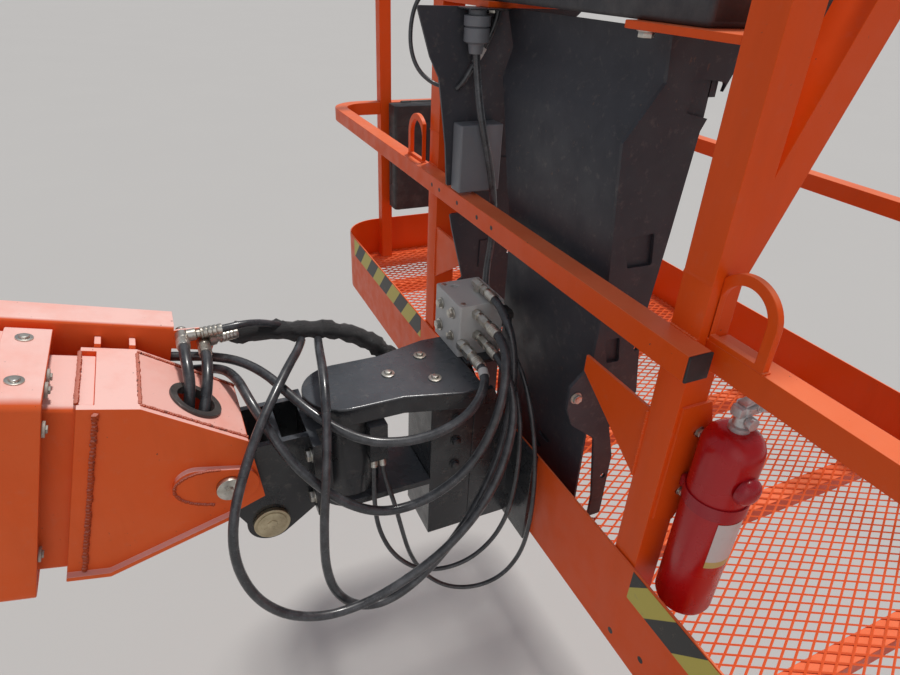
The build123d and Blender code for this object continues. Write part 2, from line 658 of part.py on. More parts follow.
# Platform: floor frame, floor, toe board
SIDE_Y = DECK_WIDTH / 2
with BuildPart() as floor_frame:
    with BuildSketch(DECK_TOP.offset(-FLOOR_SHEET - FRAME_TUBE)):
        with Locations((DECK_DEPTH / 2, 0)):
            RectangleRounded(DECK_DEPTH - 2 * TOE_SHEET, DECK_WIDTH - 2 * TOE_SHEET, DECK_CORNER - TOE_SHEET)
            RectangleRounded(DECK_DEPTH - 2 * TOE_SHEET - 2 * FRAME_TUBE,
                             DECK_WIDTH - 2 * TOE_SHEET - 2 * FRAME_TUBE,
                             DECK_CORNER - TOE_SHEET - FRAME_TUBE, mode=Mode.SUBTRACT)
            with GridLocations(0, FRAME_PITCH, 1, 7):
                Rectangle(DECK_DEPTH - 2 * TOE_SHEET - FRAME_TUBE, FRAME_TUBE)
    extrude(amount=FRAME_TUBE)
write(floor_frame, "floor_frame")

with BuildPart() as floor_plate:
    with BuildSketch(DECK_TOP.offset(-FLOOR_SHEET)):
        with Locations((DECK_DEPTH / 2, 0)):
            RectangleRounded(DECK_DEPTH - 2 * TOE_SHEET, DECK_WIDTH - 2 * TOE_SHEET, DECK_CORNER - TOE_SHEET)
            with GridLocations(GRID_PITCH_X, GRID_PITCH_Y, GRID_X, GRID_Y):
                Rectangle(GRID_PITCH_X - GRID_WEB, GRID_PITCH_Y - GRID_WEB, mode=Mode.SUBTRACT)
    extrude(amount=FLOOR_SHEET)
write(floor_plate, "floor_mesh")

with BuildPart() as toe_board:
    with BuildSketch(DECK_TOP.offset(TOE_BOTTOM)):
        with Locations((DECK_DEPTH / 2, 0)):
            RectangleRounded(DECK_DEPTH, DECK_WIDTH, DECK_CORNER)
            RectangleRounded(DECK_DEPTH - 2 * TOE_SHEET, DECK_WIDTH - 2 * TOE_SHEET, DECK_CORNER - TOE_SHEET,
                             mode=Mode.SUBTRACT)
    extrude(amount=TOE_TOP - TOE_BOTTOM)
write(toe_board, "toe_board")

# Posts: places across the platform and the height of their tops
POST_TOP = TOP_RAIL_TOP - RAIL
SIDE_POSTS = (
    [(x, -END_RAIL_Y, TOP_RAIL_TOP) for x in GATE_POST_X]
    + [(x, END_RAIL_Y, POST_TOP) for x in END_POST_X]
    + [(FAR_RAIL_X, y, POST_TOP) for y in FAR_POST_Y]
)
with BuildPart() as rail_posts:
    for x, y, top in SIDE_POSTS:
        with BuildSketch(DECK_TOP):
            with Locations((x, y)):
                Rectangle(RAIL, RAIL)
        extrude(amount=top)
write(rail_posts, "rail_posts")

with BuildPart() as boom_side_posts:
    with BuildSketch(DECK_TOP):
        with Locations((POST_X, -POST_Y), (POST_X, POST_Y)):
            Rectangle(POST, POST)
    extrude(amount=POST_TOP)
    BRACE_TOP = POST_TOP
    LEAN = tan(radians(BRACE_LEAN))
    BRACE_HALF = POST / 2 / cos(radians(BRACE_LEAN))
    with BuildSketch(DECK_SIDE.offset(POST_Y - POST / 2)):
        with BuildLine():
            Polyline((POST_X - BRACE_HALF, BRACE_FOOT_Z), (POST_X + BRACE_HALF, BRACE_FOOT_Z),
                     (POST_X + BRACE_HALF + (BRACE_TOP - BRACE_FOOT_Z) * LEAN, BRACE_TOP),
                     (POST_X - BRACE_HALF + (BRACE_TOP - BRACE_FOOT_Z) * LEAN, BRACE_TOP), close=True)
        make_face()
    extrude(amount=POST)
    with BuildSketch(DECK_SIDE.offset(-POST_Y - POST / 2)):
        with BuildLine():
            Polyline((POST_X - BRACE_HALF, BRACE_FOOT_Z), (POST_X + BRACE_HALF, BRACE_FOOT_Z),
                     (POST_X + BRACE_HALF + (BRACE_TOP - BRACE_FOOT_Z) * LEAN, BRACE_TOP),
                     (POST_X - BRACE_HALF + (BRACE_TOP - BRACE_FOOT_Z) * LEAN, BRACE_TOP), close=True)
        make_face()
    extrude(amount=POST)
write(boom_side_posts, "boom_side_posts")


def rail_bar(corners, top):
    """Run a square tube along corners on one level, open at its ends."""
    for width, lift, mode in ((RAIL, 0, Mode.ADD), (RAIL - 2 * RAIL_WALL, RAIL_WALL, Mode.SUBTRACT)):
        with BuildSketch(DECK_TOP.offset(top - RAIL + lift)) as band:
            with BuildLine():
                FilletPolyline(*corners, radius=RAIL_CORNER)
            trace(line_width=width)
        extrude(band.sketch, amount=width, mode=mode)


NEAR_FACE = POST_Y + POST / 2
GATE_LEFT, GATE_RIGHT = GATE_POST_X
with BuildPart() as mid_rail:
    rail_bar([(FRONT_RAIL_X, FRONT_RAIL_END), (FRONT_RAIL_X, END_RAIL_Y), (FAR_RAIL_X, END_RAIL_Y),
              (FAR_RAIL_X, -END_RAIL_Y), (GATE_RIGHT + RAIL / 2, -END_RAIL_Y)], MID_RAIL_TOP)
    rail_bar([(SIDE_RAIL_X, -NEAR_FACE), (SIDE_RAIL_X, -END_RAIL_Y), (GATE_LEFT - RAIL / 2, -END_RAIL_Y)],
             MID_RAIL_TOP)
    for x, y, top in SIDE_POSTS:
        with BuildSketch(DECK_TOP):
            with Locations((x, y)):
                Rectangle(RAIL, RAIL)
        extrude(amount=TOP_RAIL_TOP, mode=Mode.SUBTRACT)
write(mid_rail, "mid_rail")

with BuildPart() as top_rail:
    rail_bar([(CONSOLE_RAIL_END, POST_Y), (POST_X, POST_Y), (POST_X, END_RAIL_Y), (FAR_RAIL_X, END_RAIL_Y),
              (FAR_RAIL_X, -END_RAIL_Y), (GATE_RIGHT + RAIL / 2, -END_RAIL_Y)], TOP_RAIL_TOP)
    rail_bar([(CONSOLE_RAIL_END, -POST_Y), (POST_X, -POST_Y), (POST_X, -END_RAIL_Y),
              (GATE_LEFT - RAIL / 2, -END_RAIL_Y)], TOP_RAIL_TOP)
write(top_rail, "top_rail")

with BuildPart() as rail_plug:
    with Locations(deck(FRONT_RAIL_X, FRONT_RAIL_END - 2, MID_RAIL_TOP - RAIL / 2)):
        Box(RAIL, 4, RAIL)
write(rail_plug, "rail_plug")

# Lanyard loops: half-round rings cut from plate, welded upright on the mid rail beside the posts
with BuildPart() as lanyard_loops:
    for side, loop_x in ((-1, SIDE_RAIL_X - RAIL / 2), (1, FRONT_RAIL_X)):
        with BuildSketch(DECK_FRONT.offset(loop_x)):
            for radius, mode in ((LOOP_RADIUS, Mode.ADD), (LOOP_RADIUS - LOOP_BAND, Mode.SUBTRACT)):
                middle = side * (NEAR_FACE + LOOP_MIDDLE)
                low = MID_RAIL_TOP + (LOOP_RADIUS - radius) / 2
                with BuildLine() as ring:
                    Polyline((middle - radius, LOOP_NECK + MID_RAIL_TOP), (middle - radius, low),
                             (middle + radius, low), (middle + radius, LOOP_NECK + MID_RAIL_TOP))
                    RadiusArc((middle - radius, LOOP_NECK + MID_RAIL_TOP),
                              (middle + radius, LOOP_NECK + MID_RAIL_TOP), radius * 1.001)
                make_face(ring.edges(), mode=mode)
            Rectangle(2 * NEAR_FACE + 2 * RUN, 2 * TOP_RAIL_TOP, mode=Mode.SUBTRACT)
        extrude(amount=LOOP_PLATE)
write(lanyard_loops, "lanyard_loops")

# Gussets from the boom-side posts to the console support
with BuildPart() as gussets:
    with BuildSketch(DECK_FRONT.offset(POST_X - POST / 2)):
        with BuildLine():
            Polyline((-(POST_Y - POST / 2), GUSSET_ROOT), (-(POST_Y - POST / 2), GUSSET_TOP),
                     (-GUSSET_TIP_Y, GUSSET_TOP), (-GUSSET_TIP_Y, GUSSET_TOP - 30), close=True)
        make_face()
    extrude(amount=GUSSET_PLATE)
    mirror(about=Plane.XZ)
write(gussets, "post_gussets")

# Console support: two waved side plates with an ear for the gussets, and a front panel
SUPPORT_EDGES = [(231, SUPPORT_TOP), (187, 848), (142, 755), (130, 600), (114, 429), (136, 300), (90, 233),
                 (111, 160), (112, 10), (84, 10), (84, 61), (60, 215), (4, 262), (-12, 300), (-12, 345),
                 (24, 385), (28, 518), (14, 664), (7, 746), (62, 822), (56, SUPPORT_TOP)]
SUPPORT_SHARED = 13         # points from the top that both plates have
SUPPORT_LEFT_EDGES = SUPPORT_EDGES[:SUPPORT_SHARED] + [
    (-12, 345), (-1, 350), (-31, 465), (-38, 500), (12, 504), (12, 562), (-48, 562), (-54, 643), (-72, 766),
    (-91, 802), (-118, SUPPORT_TOP)]
SUPPORT_SLOTS = [((44, 602), (98, 606), (106, 552), (58, 553)), ((42, 428), (72, 426), (80, 378), (54, 380)),
                 ((106, 782), (126, 826), (170, 820), (160, 770))]
SUPPORT_HOLES = [(40, 479, 9), (2, 322, 6), (112, 397, 5), (100, 112, 6)]
with BuildPart() as support_sides:
    for offset, outline in ((SUPPORT_SIDE_Y, SUPPORT_EDGES), (-SUPPORT_SIDE_Y - SUPPORT_PLATE, SUPPORT_LEFT_EDGES)):
        with BuildSketch(DECK_SIDE.offset(offset)):
            with BuildLine() as edge:
                FilletPolyline(*outline, radius=SUPPORT_CORNER, close=True)
            make_face(edge.edges())
            for slot in SUPPORT_SLOTS:
                with BuildLine() as rim:
                    FilletPolyline(*slot, radius=SUPPORT_CORNER, close=True)
                make_face(rim.edges(), mode=Mode.SUBTRACT)
            for x, z, radius in SUPPORT_HOLES:
                with Locations((x, z)):
                    Circle(radius, mode=Mode.SUBTRACT)
        extrude(amount=SUPPORT_PLATE)
write(support_sides, "support_sides")

with BuildPart() as support_panel:
    with BuildSketch(DECK_SIDE.offset(-PANEL_TOP_SIDE)):
        with BuildLine():
            Polyline(*PANEL_BENDS, *[(x + PANEL_SHEET, z) for x, z in reversed(PANEL_BENDS)], close=True)
        make_face()
    extrude(amount=PANEL_TOP_SIDE + SUPPORT_SIDE_Y)
    with BuildSketch(DECK_FRONT):
        with BuildLine():
            Polyline((PANEL_SIDE, 0), (PANEL_TOP_SIDE + PANEL_SHEET, 0), (PANEL_TOP_SIDE + PANEL_SHEET, SUPPORT_TOP),
                     (PANEL_TOP_SIDE, SUPPORT_TOP), PANEL_STEP, (PANEL_SIDE, PANEL_STEP_LOW), close=True)
        make_face()
        with Locations(*PANEL_SLOTS):
            SlotOverall(PANEL_SLOT, PANEL_SLOT / 3)
    extrude(amount=SUPPORT_SIDE_Y, mode=Mode.SUBTRACT)
write(support_panel, "support_panel")

with BuildPart() as console_shelf:
    for side in (-1, 1):
        with Locations(deck(POST_X - POST / 2 + SHELF_DEPTH / 2, side * (POST_Y - POST / 2 + SHELF_INNER) / 2, SHELF_Z)):
            Box(SHELF_DEPTH, POST_Y - POST / 2 - SHELF_INNER, SHELF_PLATE)
write(console_shelf, "console_shelf")

with BuildPart() as control_console:
    with BuildSketch(DECK_SIDE.offset(-CONSOLE_WIDTH / 2)):
        with BuildLine():
            Polyline((CONSOLE_X, SHELF_Z + SHELF_PLATE / 2),
                     (CONSOLE_X + CONSOLE_DEPTH, SHELF_Z + SHELF_PLATE / 2),
                     (CONSOLE_X + CONSOLE_DEPTH, SHELF_Z + CONSOLE_LIP),
                     (CONSOLE_TOP_X, SHELF_Z + CONSOLE_HEIGHT),
                     (CONSOLE_X, SHELF_Z + CONSOLE_HEIGHT), close=True)
        make_face()
    extrude(amount=CONSOLE_WIDTH)
    fillet(control_console.edges(), CONSOLE_EDGE)
write(control_console, "control_console")

with BuildPart() as control_module:
    with Locations(deck(MODULE_PLACE[0], SUPPORT_SIDE_Y - RUN - MODULE_SIZE[1] / 2, MODULE_PLACE[1])):
        Box(*MODULE_SIZE)
    fillet(control_module.edges().filter_by(Axis.Z), MODULE_EDGE)
write(control_module, "control_module")

# Valve block on the cap plate's end
with BuildPart() as valve_bracket:
    with BuildSketch(DECK_TOP.offset(CAP_TOP - VALVE_PLATE)):
        with Locations(VALVE_PLATE_MIDDLE):
            Rectangle(*VALVE_PLATE_SIZE)
    extrude(amount=VALVE_PLATE)
write(valve_bracket, "valve_bracket")

with BuildPart() as valve_block:
    with Locations(deck(VALVE_MIN[0], VALVE_MIN[1], VALVE_MIN[2])):
        Box(*VALVE_SIZE, align=(Align.MIN, Align.MIN, Align.MIN))
    chamfer(valve_block.edges().filter_by(Axis.Z), VALVE_EDGE)
    with BuildSketch(DECK_TOP.offset(VALVE_MIN[2] + VALVE_SIZE[2])):
        with Locations(VALVE_SOCKET):
            Circle(SOCKET_RADIUS)
    extrude(amount=-SOCKET_DEPTH, mode=Mode.SUBTRACT)
write(valve_block, "valve_block")

# Solenoid coils on the valve block's far face, each with a nut on its end
with BuildPart() as valve_coils:
    for y, z in COIL_PLACES:
        with BuildSketch(DECK_FRONT.offset(VALVE_MIN[0] + VALVE_SIZE[0])):
            with Locations((y, z)):
                RectangleRounded(COIL, COIL + 4, 3)
        extrude(amount=COIL)
        with BuildSketch(DECK_FRONT.offset(VALVE_MIN[0] + VALVE_SIZE[0] + COIL)):
            with Locations((y, z)):
                Circle(COIL / 3)
        extrude(amount=COIL_NUT)
write(valve_coils, "valve_coils")

# Fittings on the valve block's near face: (x, z, radius, length)
VALVE_FITTINGS = (
    (-102, 318, 12, 62),
    (-70, 333, 10, 60),
    (-74, 380, 10, 62),
    (-40, 301, 7, 40),
    (-24, 318, 7, 40),
)
TOP_FITTING = (-45, 75, 412)
TOP_FITTING_LENGTH = 57
TOP_FITTING_RADIUS = 10
with BuildPart() as valve_fittings:
    for x, z, radius, length in VALVE_FITTINGS:
        with BuildSketch(DECK_SIDE.offset(-VALVE_MIN[1])):
            with Locations((x, z)):
                Circle(radius)
        extrude(amount=length)
    with BuildSketch(DECK_SIDE.offset(-TOP_FITTING[1])):
        with Locations((TOP_FITTING[0], TOP_FITTING[2])):
            Circle(TOP_FITTING_RADIUS)
    extrude(amount=TOP_FITTING_LENGTH)
    with BuildSketch(DECK_TOP.offset(VALVE_MIN[2] + VALVE_SIZE[2])):
        with Locations((TOP_FITTING[0], TOP_FITTING[1] - TOP_FITTING_RADIUS)):
            Circle(TOP_FITTING_RADIUS - 2)
    extrude(amount=TOP_FITTING[2] - VALVE_MIN[2] - VALVE_SIZE[2])
write(valve_fittings, "valve_fittings")

# Fire extinguisher on its bracket
with BuildPart() as extinguisher_bracket:
    with BuildSketch(DECK_SIDE.offset(POST_Y + POST / 2)):
        with BuildLine():
            Polyline((10, 240), (50, 225), (85, 300), (85, 370), (60, 445), (10, 445), close=True)
        make_face()
        with Locations(*BRACKET_SLOTS):
            SlotOverall(BRACKET_SLOT, BRACKET_SLOT / 2, mode=Mode.SUBTRACT)
    extrude(amount=5)
write(extinguisher_bracket, "extinguisher_bracket")

with BuildPart() as extinguisher_body:
    with BuildSketch(DECK_TOP.offset(BOTTLE_BOTTOM)):
        with Locations((BOTTLE_X, BOTTLE_Y)):
            Circle(BOTTLE_RADIUS)
    extrude(amount=BOTTLE_HEIGHT)
    fillet(extinguisher_body.edges().filter_by(GeomType.CIRCLE).group_by(Axis.Z)[-1], BOTTLE_SHOULDER)
    fillet(extinguisher_body.edges().filter_by(GeomType.CIRCLE).group_by(Axis.Z)[0], BOTTLE_FOOT)
write(extinguisher_body, "extinguisher_body")

# Its valve: a neck, a body with a side outlet, and a fixed and a pressed lever
BOTTLE_TOP = BOTTLE_BOTTOM + BOTTLE_HEIGHT
with BuildPart() as extinguisher_valve:
    with BuildSketch(DECK_TOP.offset(BOTTLE_TOP)):
        with Locations((BOTTLE_X, BOTTLE_Y)):
            Circle(NECK_RADIUS)
    extrude(amount=NECK_HEIGHT)
    with BuildSketch(DECK_SIDE.offset(-BOTTLE_Y - LEVER_WIDTH / 2)):
        with BuildLine():
            Polyline(*[(BOTTLE_X + x, BOTTLE_TOP + z) for x, z in LEVER_LOW], close=True)
        make_face()
        with BuildLine() as pressed:
            Polyline(*[(BOTTLE_X + x, BOTTLE_TOP + z) for x, z in LEVER_HIGH], close=True)
        make_face(pressed.edges())
    extrude(amount=LEVER_WIDTH)
write(extinguisher_valve, "extinguisher_valve")

# The band that holds the bottle, with the block that ties it to the bracket
with BuildPart() as extinguisher_band:
    with BuildSketch(DECK_TOP.offset(BAND_LEVEL)):
        with Locations((BOTTLE_X, BOTTLE_Y)):
            Circle(BOTTLE_RADIUS + RUN + BAND_SHEET)
        with Locations(((BAND_BLOCK[0] + BAND_BLOCK[1]) / 2, (BRACKET_FACE + BOTTLE_Y) / 2)):
            Rectangle(BAND_BLOCK[1] - BAND_BLOCK[0], BRACKET_FACE - BOTTLE_Y)
        with Locations((BOTTLE_X, BOTTLE_Y)):
            Circle(BOTTLE_RADIUS + RUN, mode=Mode.SUBTRACT)
    extrude(amount=BAND_HEIGHT)
write(extinguisher_band, "extinguisher_band")

# Document box with its lid, on the end posts
BOX_MIDDLE_X = sum(BOX_X) / 2
BOX_WIDTH = BOX_X[1] - BOX_X[0]
BOX_BACK_Y = END_RAIL_Y - RAIL / 2 - BOX_GAP
BOX_RIM = BOX_Z[1] - BOX_LID
with BuildPart() as document_box:
    with BuildSketch(DECK_TOP.offset(BOX_Z[0])):
        with Locations((BOX_MIDDLE_X, BOX_BACK_Y - BOX_DEPTH / 2)):
            RectangleRounded(BOX_WIDTH, BOX_DEPTH, BOX_CORNER)
    extrude(amount=BOX_RIM - BOX_Z[0])
    with BuildSketch(DECK_TOP.offset(BOX_Z[0] + BOX_WALL)):
        with Locations((BOX_MIDDLE_X, BOX_BACK_Y - BOX_DEPTH / 2)):
            RectangleRounded(BOX_WIDTH - 2 * BOX_WALL, BOX_DEPTH - 2 * BOX_WALL, BOX_CORNER - BOX_WALL)
    extrude(amount=BOX_RIM - BOX_Z[0], mode=Mode.SUBTRACT)
    for x in BOX_STRAPS:
        for low, high, start, end in ((BOX_RIM - 48, BOX_RIM - 8, BOX_BACK_Y, BOX_BACK_Y + BOX_GAP - RUN),
                                      (BOX_RIM - 48, BOX_Z[1] + BOX_STRAP / 2, BOX_BACK_Y + BOX_GAP - RUN - BOX_STRAP,
                                       BOX_BACK_Y + BOX_GAP - RUN)):
            with Locations(deck(x, (start + end) / 2, (low + high) / 2)):
                Box(BOX_STRAP_WIDTH, end - start, high - low)
        with BuildSketch(DECK_FRONT.offset(x - BOX_STRAP_WIDTH / 2)):
            with Locations((BOX_BACK_Y + BOX_REACH / 2, BOX_Z[1])):
                Rectangle(BOX_REACH, BOX_STRAP)
            with Locations((BOX_BACK_Y, BOX_Z[1])):
                Circle(BOX_KNUCKLE)
        extrude(amount=BOX_STRAP_WIDTH)
    with BuildSketch(DECK_FRONT.offset(BOX_STRAPS[0])):
        with Locations((BOX_BACK_Y, BOX_Z[1])):
            Circle(BOX_PIN)
    extrude(amount=BOX_STRAPS[1] - BOX_STRAPS[0])
write(document_box, "document_box")

with BuildPart() as document_box_lid:
    with BuildSketch(DECK_TOP.offset(BOX_RIM + RUN)):
        with Locations((BOX_MIDDLE_X, BOX_BACK_Y - BOX_DEPTH / 2)):
            RectangleRounded(BOX_WIDTH, BOX_DEPTH, BOX_CORNER)
    extrude(amount=BOX_LID - RUN)
    with BuildSketch(DECK_TOP.offset(BOX_RIM + RUN)):
        with Locations((BOX_MIDDLE_X, BOX_BACK_Y - BOX_DEPTH / 2)):
            RectangleRounded(BOX_WIDTH - 2 * BOX_WALL, BOX_DEPTH - 2 * BOX_WALL, BOX_CORNER - BOX_WALL)
    extrude(amount=BOX_LID - RUN - BOX_WALL, mode=Mode.SUBTRACT)
    with BuildSketch(DECK_FRONT.offset(BOX_STRAPS[0] + BOX_STRAP_WIDTH / 2 + 2)):
        with Locations((BOX_BACK_Y, BOX_Z[1])):
            Circle(BOX_KNUCKLE)
    extrude(amount=BOX_STRAPS[1] - BOX_STRAPS[0] - BOX_STRAP_WIDTH - 4)
    with BuildSketch(DECK_FRONT.offset(BOX_STRAPS[0])):
        with Locations((BOX_BACK_Y, BOX_Z[1])):
            Circle(BOX_PIN + PIN_PLAY)
    extrude(amount=BOX_STRAPS[1] - BOX_STRAPS[0], mode=Mode.SUBTRACT)
    for x in BOX_STRAPS:
        with Locations(deck(x, BOX_BACK_Y, BOX_Z[1])):
            Box(BOX_STRAP_WIDTH + 4, 2 * BOX_NOTCH, 2 * BOX_NOTCH, mode=Mode.SUBTRACT)
write(document_box_lid, "document_box_lid")

# Gate with its hinges
HINGE_LEVELS = (560, 1040)
with BuildPart() as gate_hinges:
    for level in HINGE_LEVELS:
        with BuildSketch(DECK_TOP.offset(level)):
            with Locations((GATE_RIGHT - RAIL / 2, GATE_HINGE_Y)):
                Rectangle(GATE_RIGHT - RAIL / 2 - GATE_HINGE_X + 8, 22, align=(Align.MAX, Align.CENTER))
        extrude(amount=10)
        with BuildSketch(DECK_TOP.offset(level + 10)):
            with Locations((GATE_HINGE_X, GATE_HINGE_Y)):
                Circle(6)
        extrude(amount=40)
write(gate_hinges, "gate_hinges")

with BuildPart() as gate_frame:
    with BuildSketch(DECK_SIDE.offset(END_RAIL_Y - GATE_TUBE / 2)):
        with BuildLine():
            Polyline((GATE_X[0], GATE_BOTTOM), (GATE_X[1], GATE_BOTTOM), (GATE_X[1], TOP_RAIL_TOP),
                     (GATE_X[0], TOP_RAIL_TOP), close=True)
        make_face()
        with Locations(((GATE_X[0] + GATE_X[1]) / 2, (GATE_BOTTOM + TOP_RAIL_TOP) / 2)):
            Rectangle(GATE_X[1] - GATE_X[0] - 2 * GATE_TUBE, TOP_RAIL_TOP - GATE_BOTTOM - 2 * GATE_TUBE,
                      mode=Mode.SUBTRACT)
            Rectangle(GATE_X[1] - GATE_X[0], GATE_TUBE)
    extrude(amount=GATE_TUBE)
    for level in HINGE_LEVELS:
        with BuildSketch(DECK_TOP.offset(level + 10 + RUN)):
            with Locations((GATE_X[1] + 6, GATE_HINGE_Y)):
                Rectangle(24, 16)
            with Locations((GATE_HINGE_X, GATE_HINGE_Y)):
                Circle(11)
                Circle(6 + PIN_PLAY, mode=Mode.SUBTRACT)
        extrude(amount=34)
write(gate_frame, "gate_frame")

# Hoses from the channel over the head to the valve block: name, diameter, route on the platform
HOSES = {
    "hose_level_a": (18, [(-588, 92, 380), (-588, 68, 380), (-588, 44, 376), (-588, 22, 367), (-589, 2, 351),
                          (-594, -11, 329), (-601, -18, 303)]),
    "hose_level_b": (18, [(-556, 92, 360), (-556, 68, 360), (-557, 44, 357), (-560, 22, 349), (-565, 2, 336),
                          (-572, -15, 318), (-581, -28, 298)]),
    "hose_upper": (17, [(-102, -52, 318), (-102, -76, 318), (-107, -101, 315), (-120, -124, 306),
                        (-140, -142, 293), (-166, -153, 279), (-198, -156, 265), (-238, -153, 254),
                        (-282, -143, 248), (-328, -127, 250), (-370, -102, 264), (-410, -64, 286),
                        (-440, -14, 304), (-466, 38, 318), (-502, 84, 326), (-550, 116, 327),
                        (-592, 131, 327), (-632, 138, 332)]),
    "hose_middle": (17, [(-74, -52, 380), (-74, -76, 380), (-75, -100, 374), (-79, -121, 361), (-86, -138, 342),
                         (-94, -150, 318), (-103, -158, 290), (-114, -162, 256), (-130, -165, 218),
                         (-154, -166, 180), (-188, -166, 148), (-232, -165, 124), (-280, -162, 112),
                         (-332, -156, 116), (-382, -142, 142), (-424, -124, 182), (-456, -103, 222),
                         (-478, -76, 258), (-494, -42, 288), (-506, -2, 308), (-514, 42, 317), (-532, 88, 314),
                         (-574, 124, 301), (-618, 140, 292), (-646, 144, 295)]),
    "hose_low_loop": (16, [(-70, -50, 333), (-70, -75, 333), (-70, -99, 327), (-70, -121, 314), (-71, -140, 296),
                           (-73, -155, 273), (-78, -166, 245), (-88, -176, 208), (-106, -187, 164),
                           (-136, -198, 116), (-180, -208, 70), (-236, -216, 30), (-302, -220, -2),
                           (-372, -222, -24), (-440, -221, -26), (-500, -216, -4), (-544, -207, 40),
                           (-568, -196, 96), (-574, -182, 156), (-562, -162, 212), (-536, -130, 260),
                           (-500, -84, 302), (-460, -32, 330), (-426, 20, 342), (-400, 70, 337),
                           (-386, 114, 327)]),
    "hose_long_loop": (16, [(-45, 18, 412), (-45, -8, 412), (-45, -33, 405), (-45, -55, 392), (-45, -74, 373),
                            (-46, -89, 349), (-48, -100, 320), (-52, -111, 284), (-61, -124, 242),
                            (-77, -139, 194), (-102, -156, 144), (-138, -174, 92), (-184, -190, 42),
                            (-236, -202, -4), (-290, -209, -40), (-344, -210, -58), (-392, -204, -46),
                            (-424, -194, -6), (-434, -182, 48), (-430, -170, 110), (-421, -154, 172),
                            (-410, -138, 232), (-399, -110, 286), (-388, -66, 323), (-378, -14, 341),
                            (-370, 36, 342), (-362, 78, 333), (-355, 112, 323)]),
    "hose_rotator_a": (9, [(-308, -68, 160), (-308, -68, 128), (-314, -84, 68), (-312, -100, 8), (-290, -120, -50),
                           (-248, -136, -92), (-195, -148, -105), (-140, -158, -90), (-96, -165, -46),
                           (-70, -167, 10), (-58, -164, 68), (-50, -157, 122), (-45, -147, 172),
                           (-41, -133, 216), (-40, -114, 252), (-40, -93, 280), (-40, -72, 295),
                           (-40, -51, 301), (-40, -30, 301)]),
    "hose_rotator_b": (9, [(-292, -68, 160), (-292, -68, 126), (-276, -90, 58), (-264, -100, -12),
                           (-250, -108, -80), (-222, -120, -140), (-176, -142, -176), (-120, -164, -176),
                           (-70, -182, -142), (-38, -190, -78), (-26, -187, -8), (-20, -179, 62),
                           (-18, -168, 126), (-18, -153, 182), (-20, -135, 232), (-22, -114, 272),
                           (-24, -92, 299), (-24, -71, 312), (-24, -51, 318), (-24, -30, 318)]),
    "cable_sleeve": (42, [(-604, 150, 362), (-546, 151, 350), (-480, 147, 345), (-412, 143, 340), (-346, 138, 331),
                          (-286, 134, 314), (-238, 132, 282), (-204, 131, 238), (-176, 130, 190),
                          (-140, 124, 150), (-96, 112, 120), (-52, 103, 106), (-12, 103, 106)]),
}


def hose_tube(name, diameter, points):
    """Sweep a hose along straight runs joined by tangent arcs, and print its length and radii."""
    corners = [deck(*point) for point in points]
    radii = []
    for before, corner, after in zip(corners, corners[1:], corners[2:]):
        run = min((corner - before).length, (after - corner).length)
        turn = radians((corner - before).get_angle(after - corner))
        radii.append(0.45 * run / tan(turn / 2))
    with BuildPart() as tube:
        with BuildLine() as route:
            FilletPolyline(*corners, radius=radii)
        with BuildSketch(Plane(origin=route.line @ 0, z_dir=route.line % 0)):
            Circle(diameter / 2)
        sweep(path=route.line)
    print(name, round(route.wire().length), "mm, radii", [round(radius) for radius in radii])
    return tube


for name, (diameter, points) in HOSES.items():
    write(hose_tube(name, diameter, points), name)
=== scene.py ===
"""Looks of a telescopic boom lift's boom tip, levelling head, rotator, hoses and work platform.

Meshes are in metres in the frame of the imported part. Places given to Frame.deck and Frame.boom are
millimetres: on the platform from the middle of the floor's boom-side edge, and on the boom along its
own pitched line. The hoses' routes are metres on the platform.
"""

from __future__ import annotations

import logging
import math
import random
from dataclasses import dataclass
from enum import Enum
from typing import Sequence

import bmesh
import bpy
from mathutils import Matrix, Vector, noise

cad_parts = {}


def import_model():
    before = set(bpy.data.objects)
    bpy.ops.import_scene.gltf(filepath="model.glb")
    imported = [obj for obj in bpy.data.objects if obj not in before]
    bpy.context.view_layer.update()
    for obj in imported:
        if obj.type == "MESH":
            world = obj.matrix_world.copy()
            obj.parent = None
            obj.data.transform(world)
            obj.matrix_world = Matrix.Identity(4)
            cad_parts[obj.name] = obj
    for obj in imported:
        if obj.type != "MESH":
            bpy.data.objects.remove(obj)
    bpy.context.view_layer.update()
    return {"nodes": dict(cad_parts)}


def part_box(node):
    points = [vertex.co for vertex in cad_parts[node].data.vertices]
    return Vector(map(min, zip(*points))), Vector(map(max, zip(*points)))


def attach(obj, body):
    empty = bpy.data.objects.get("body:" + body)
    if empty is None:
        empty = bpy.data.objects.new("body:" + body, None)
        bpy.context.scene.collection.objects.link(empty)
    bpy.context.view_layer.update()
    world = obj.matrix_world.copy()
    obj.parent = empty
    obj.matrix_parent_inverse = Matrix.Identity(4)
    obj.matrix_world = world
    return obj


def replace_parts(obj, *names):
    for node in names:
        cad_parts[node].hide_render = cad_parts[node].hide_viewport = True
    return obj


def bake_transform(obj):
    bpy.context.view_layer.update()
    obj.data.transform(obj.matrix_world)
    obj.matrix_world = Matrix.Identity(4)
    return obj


LOG = logging.getLogger("boom_lift")
MM = 0.001
BOOM_PITCH = math.radians(15)
SEED = 7

Colour = tuple[float, float, float]
Place = tuple[float, float, float]

DUST: Colour = (0.42, 0.36, 0.30)
PRIMER: Colour = (0.09, 0.06, 0.05)


class Body(Enum):
    """The rigid bodies that pieces ride on."""

    MID_BOOM = "mid_boom"
    FLY_BOOM = "fly_boom"
    LEVEL_BARREL = "level_barrel"
    LEVEL_ROD = "level_rod"
    SUPPORT = "rotator_support"
    PLATFORM = "platform"
    GATE = "gate"
    BOX_LID = "box_lid"


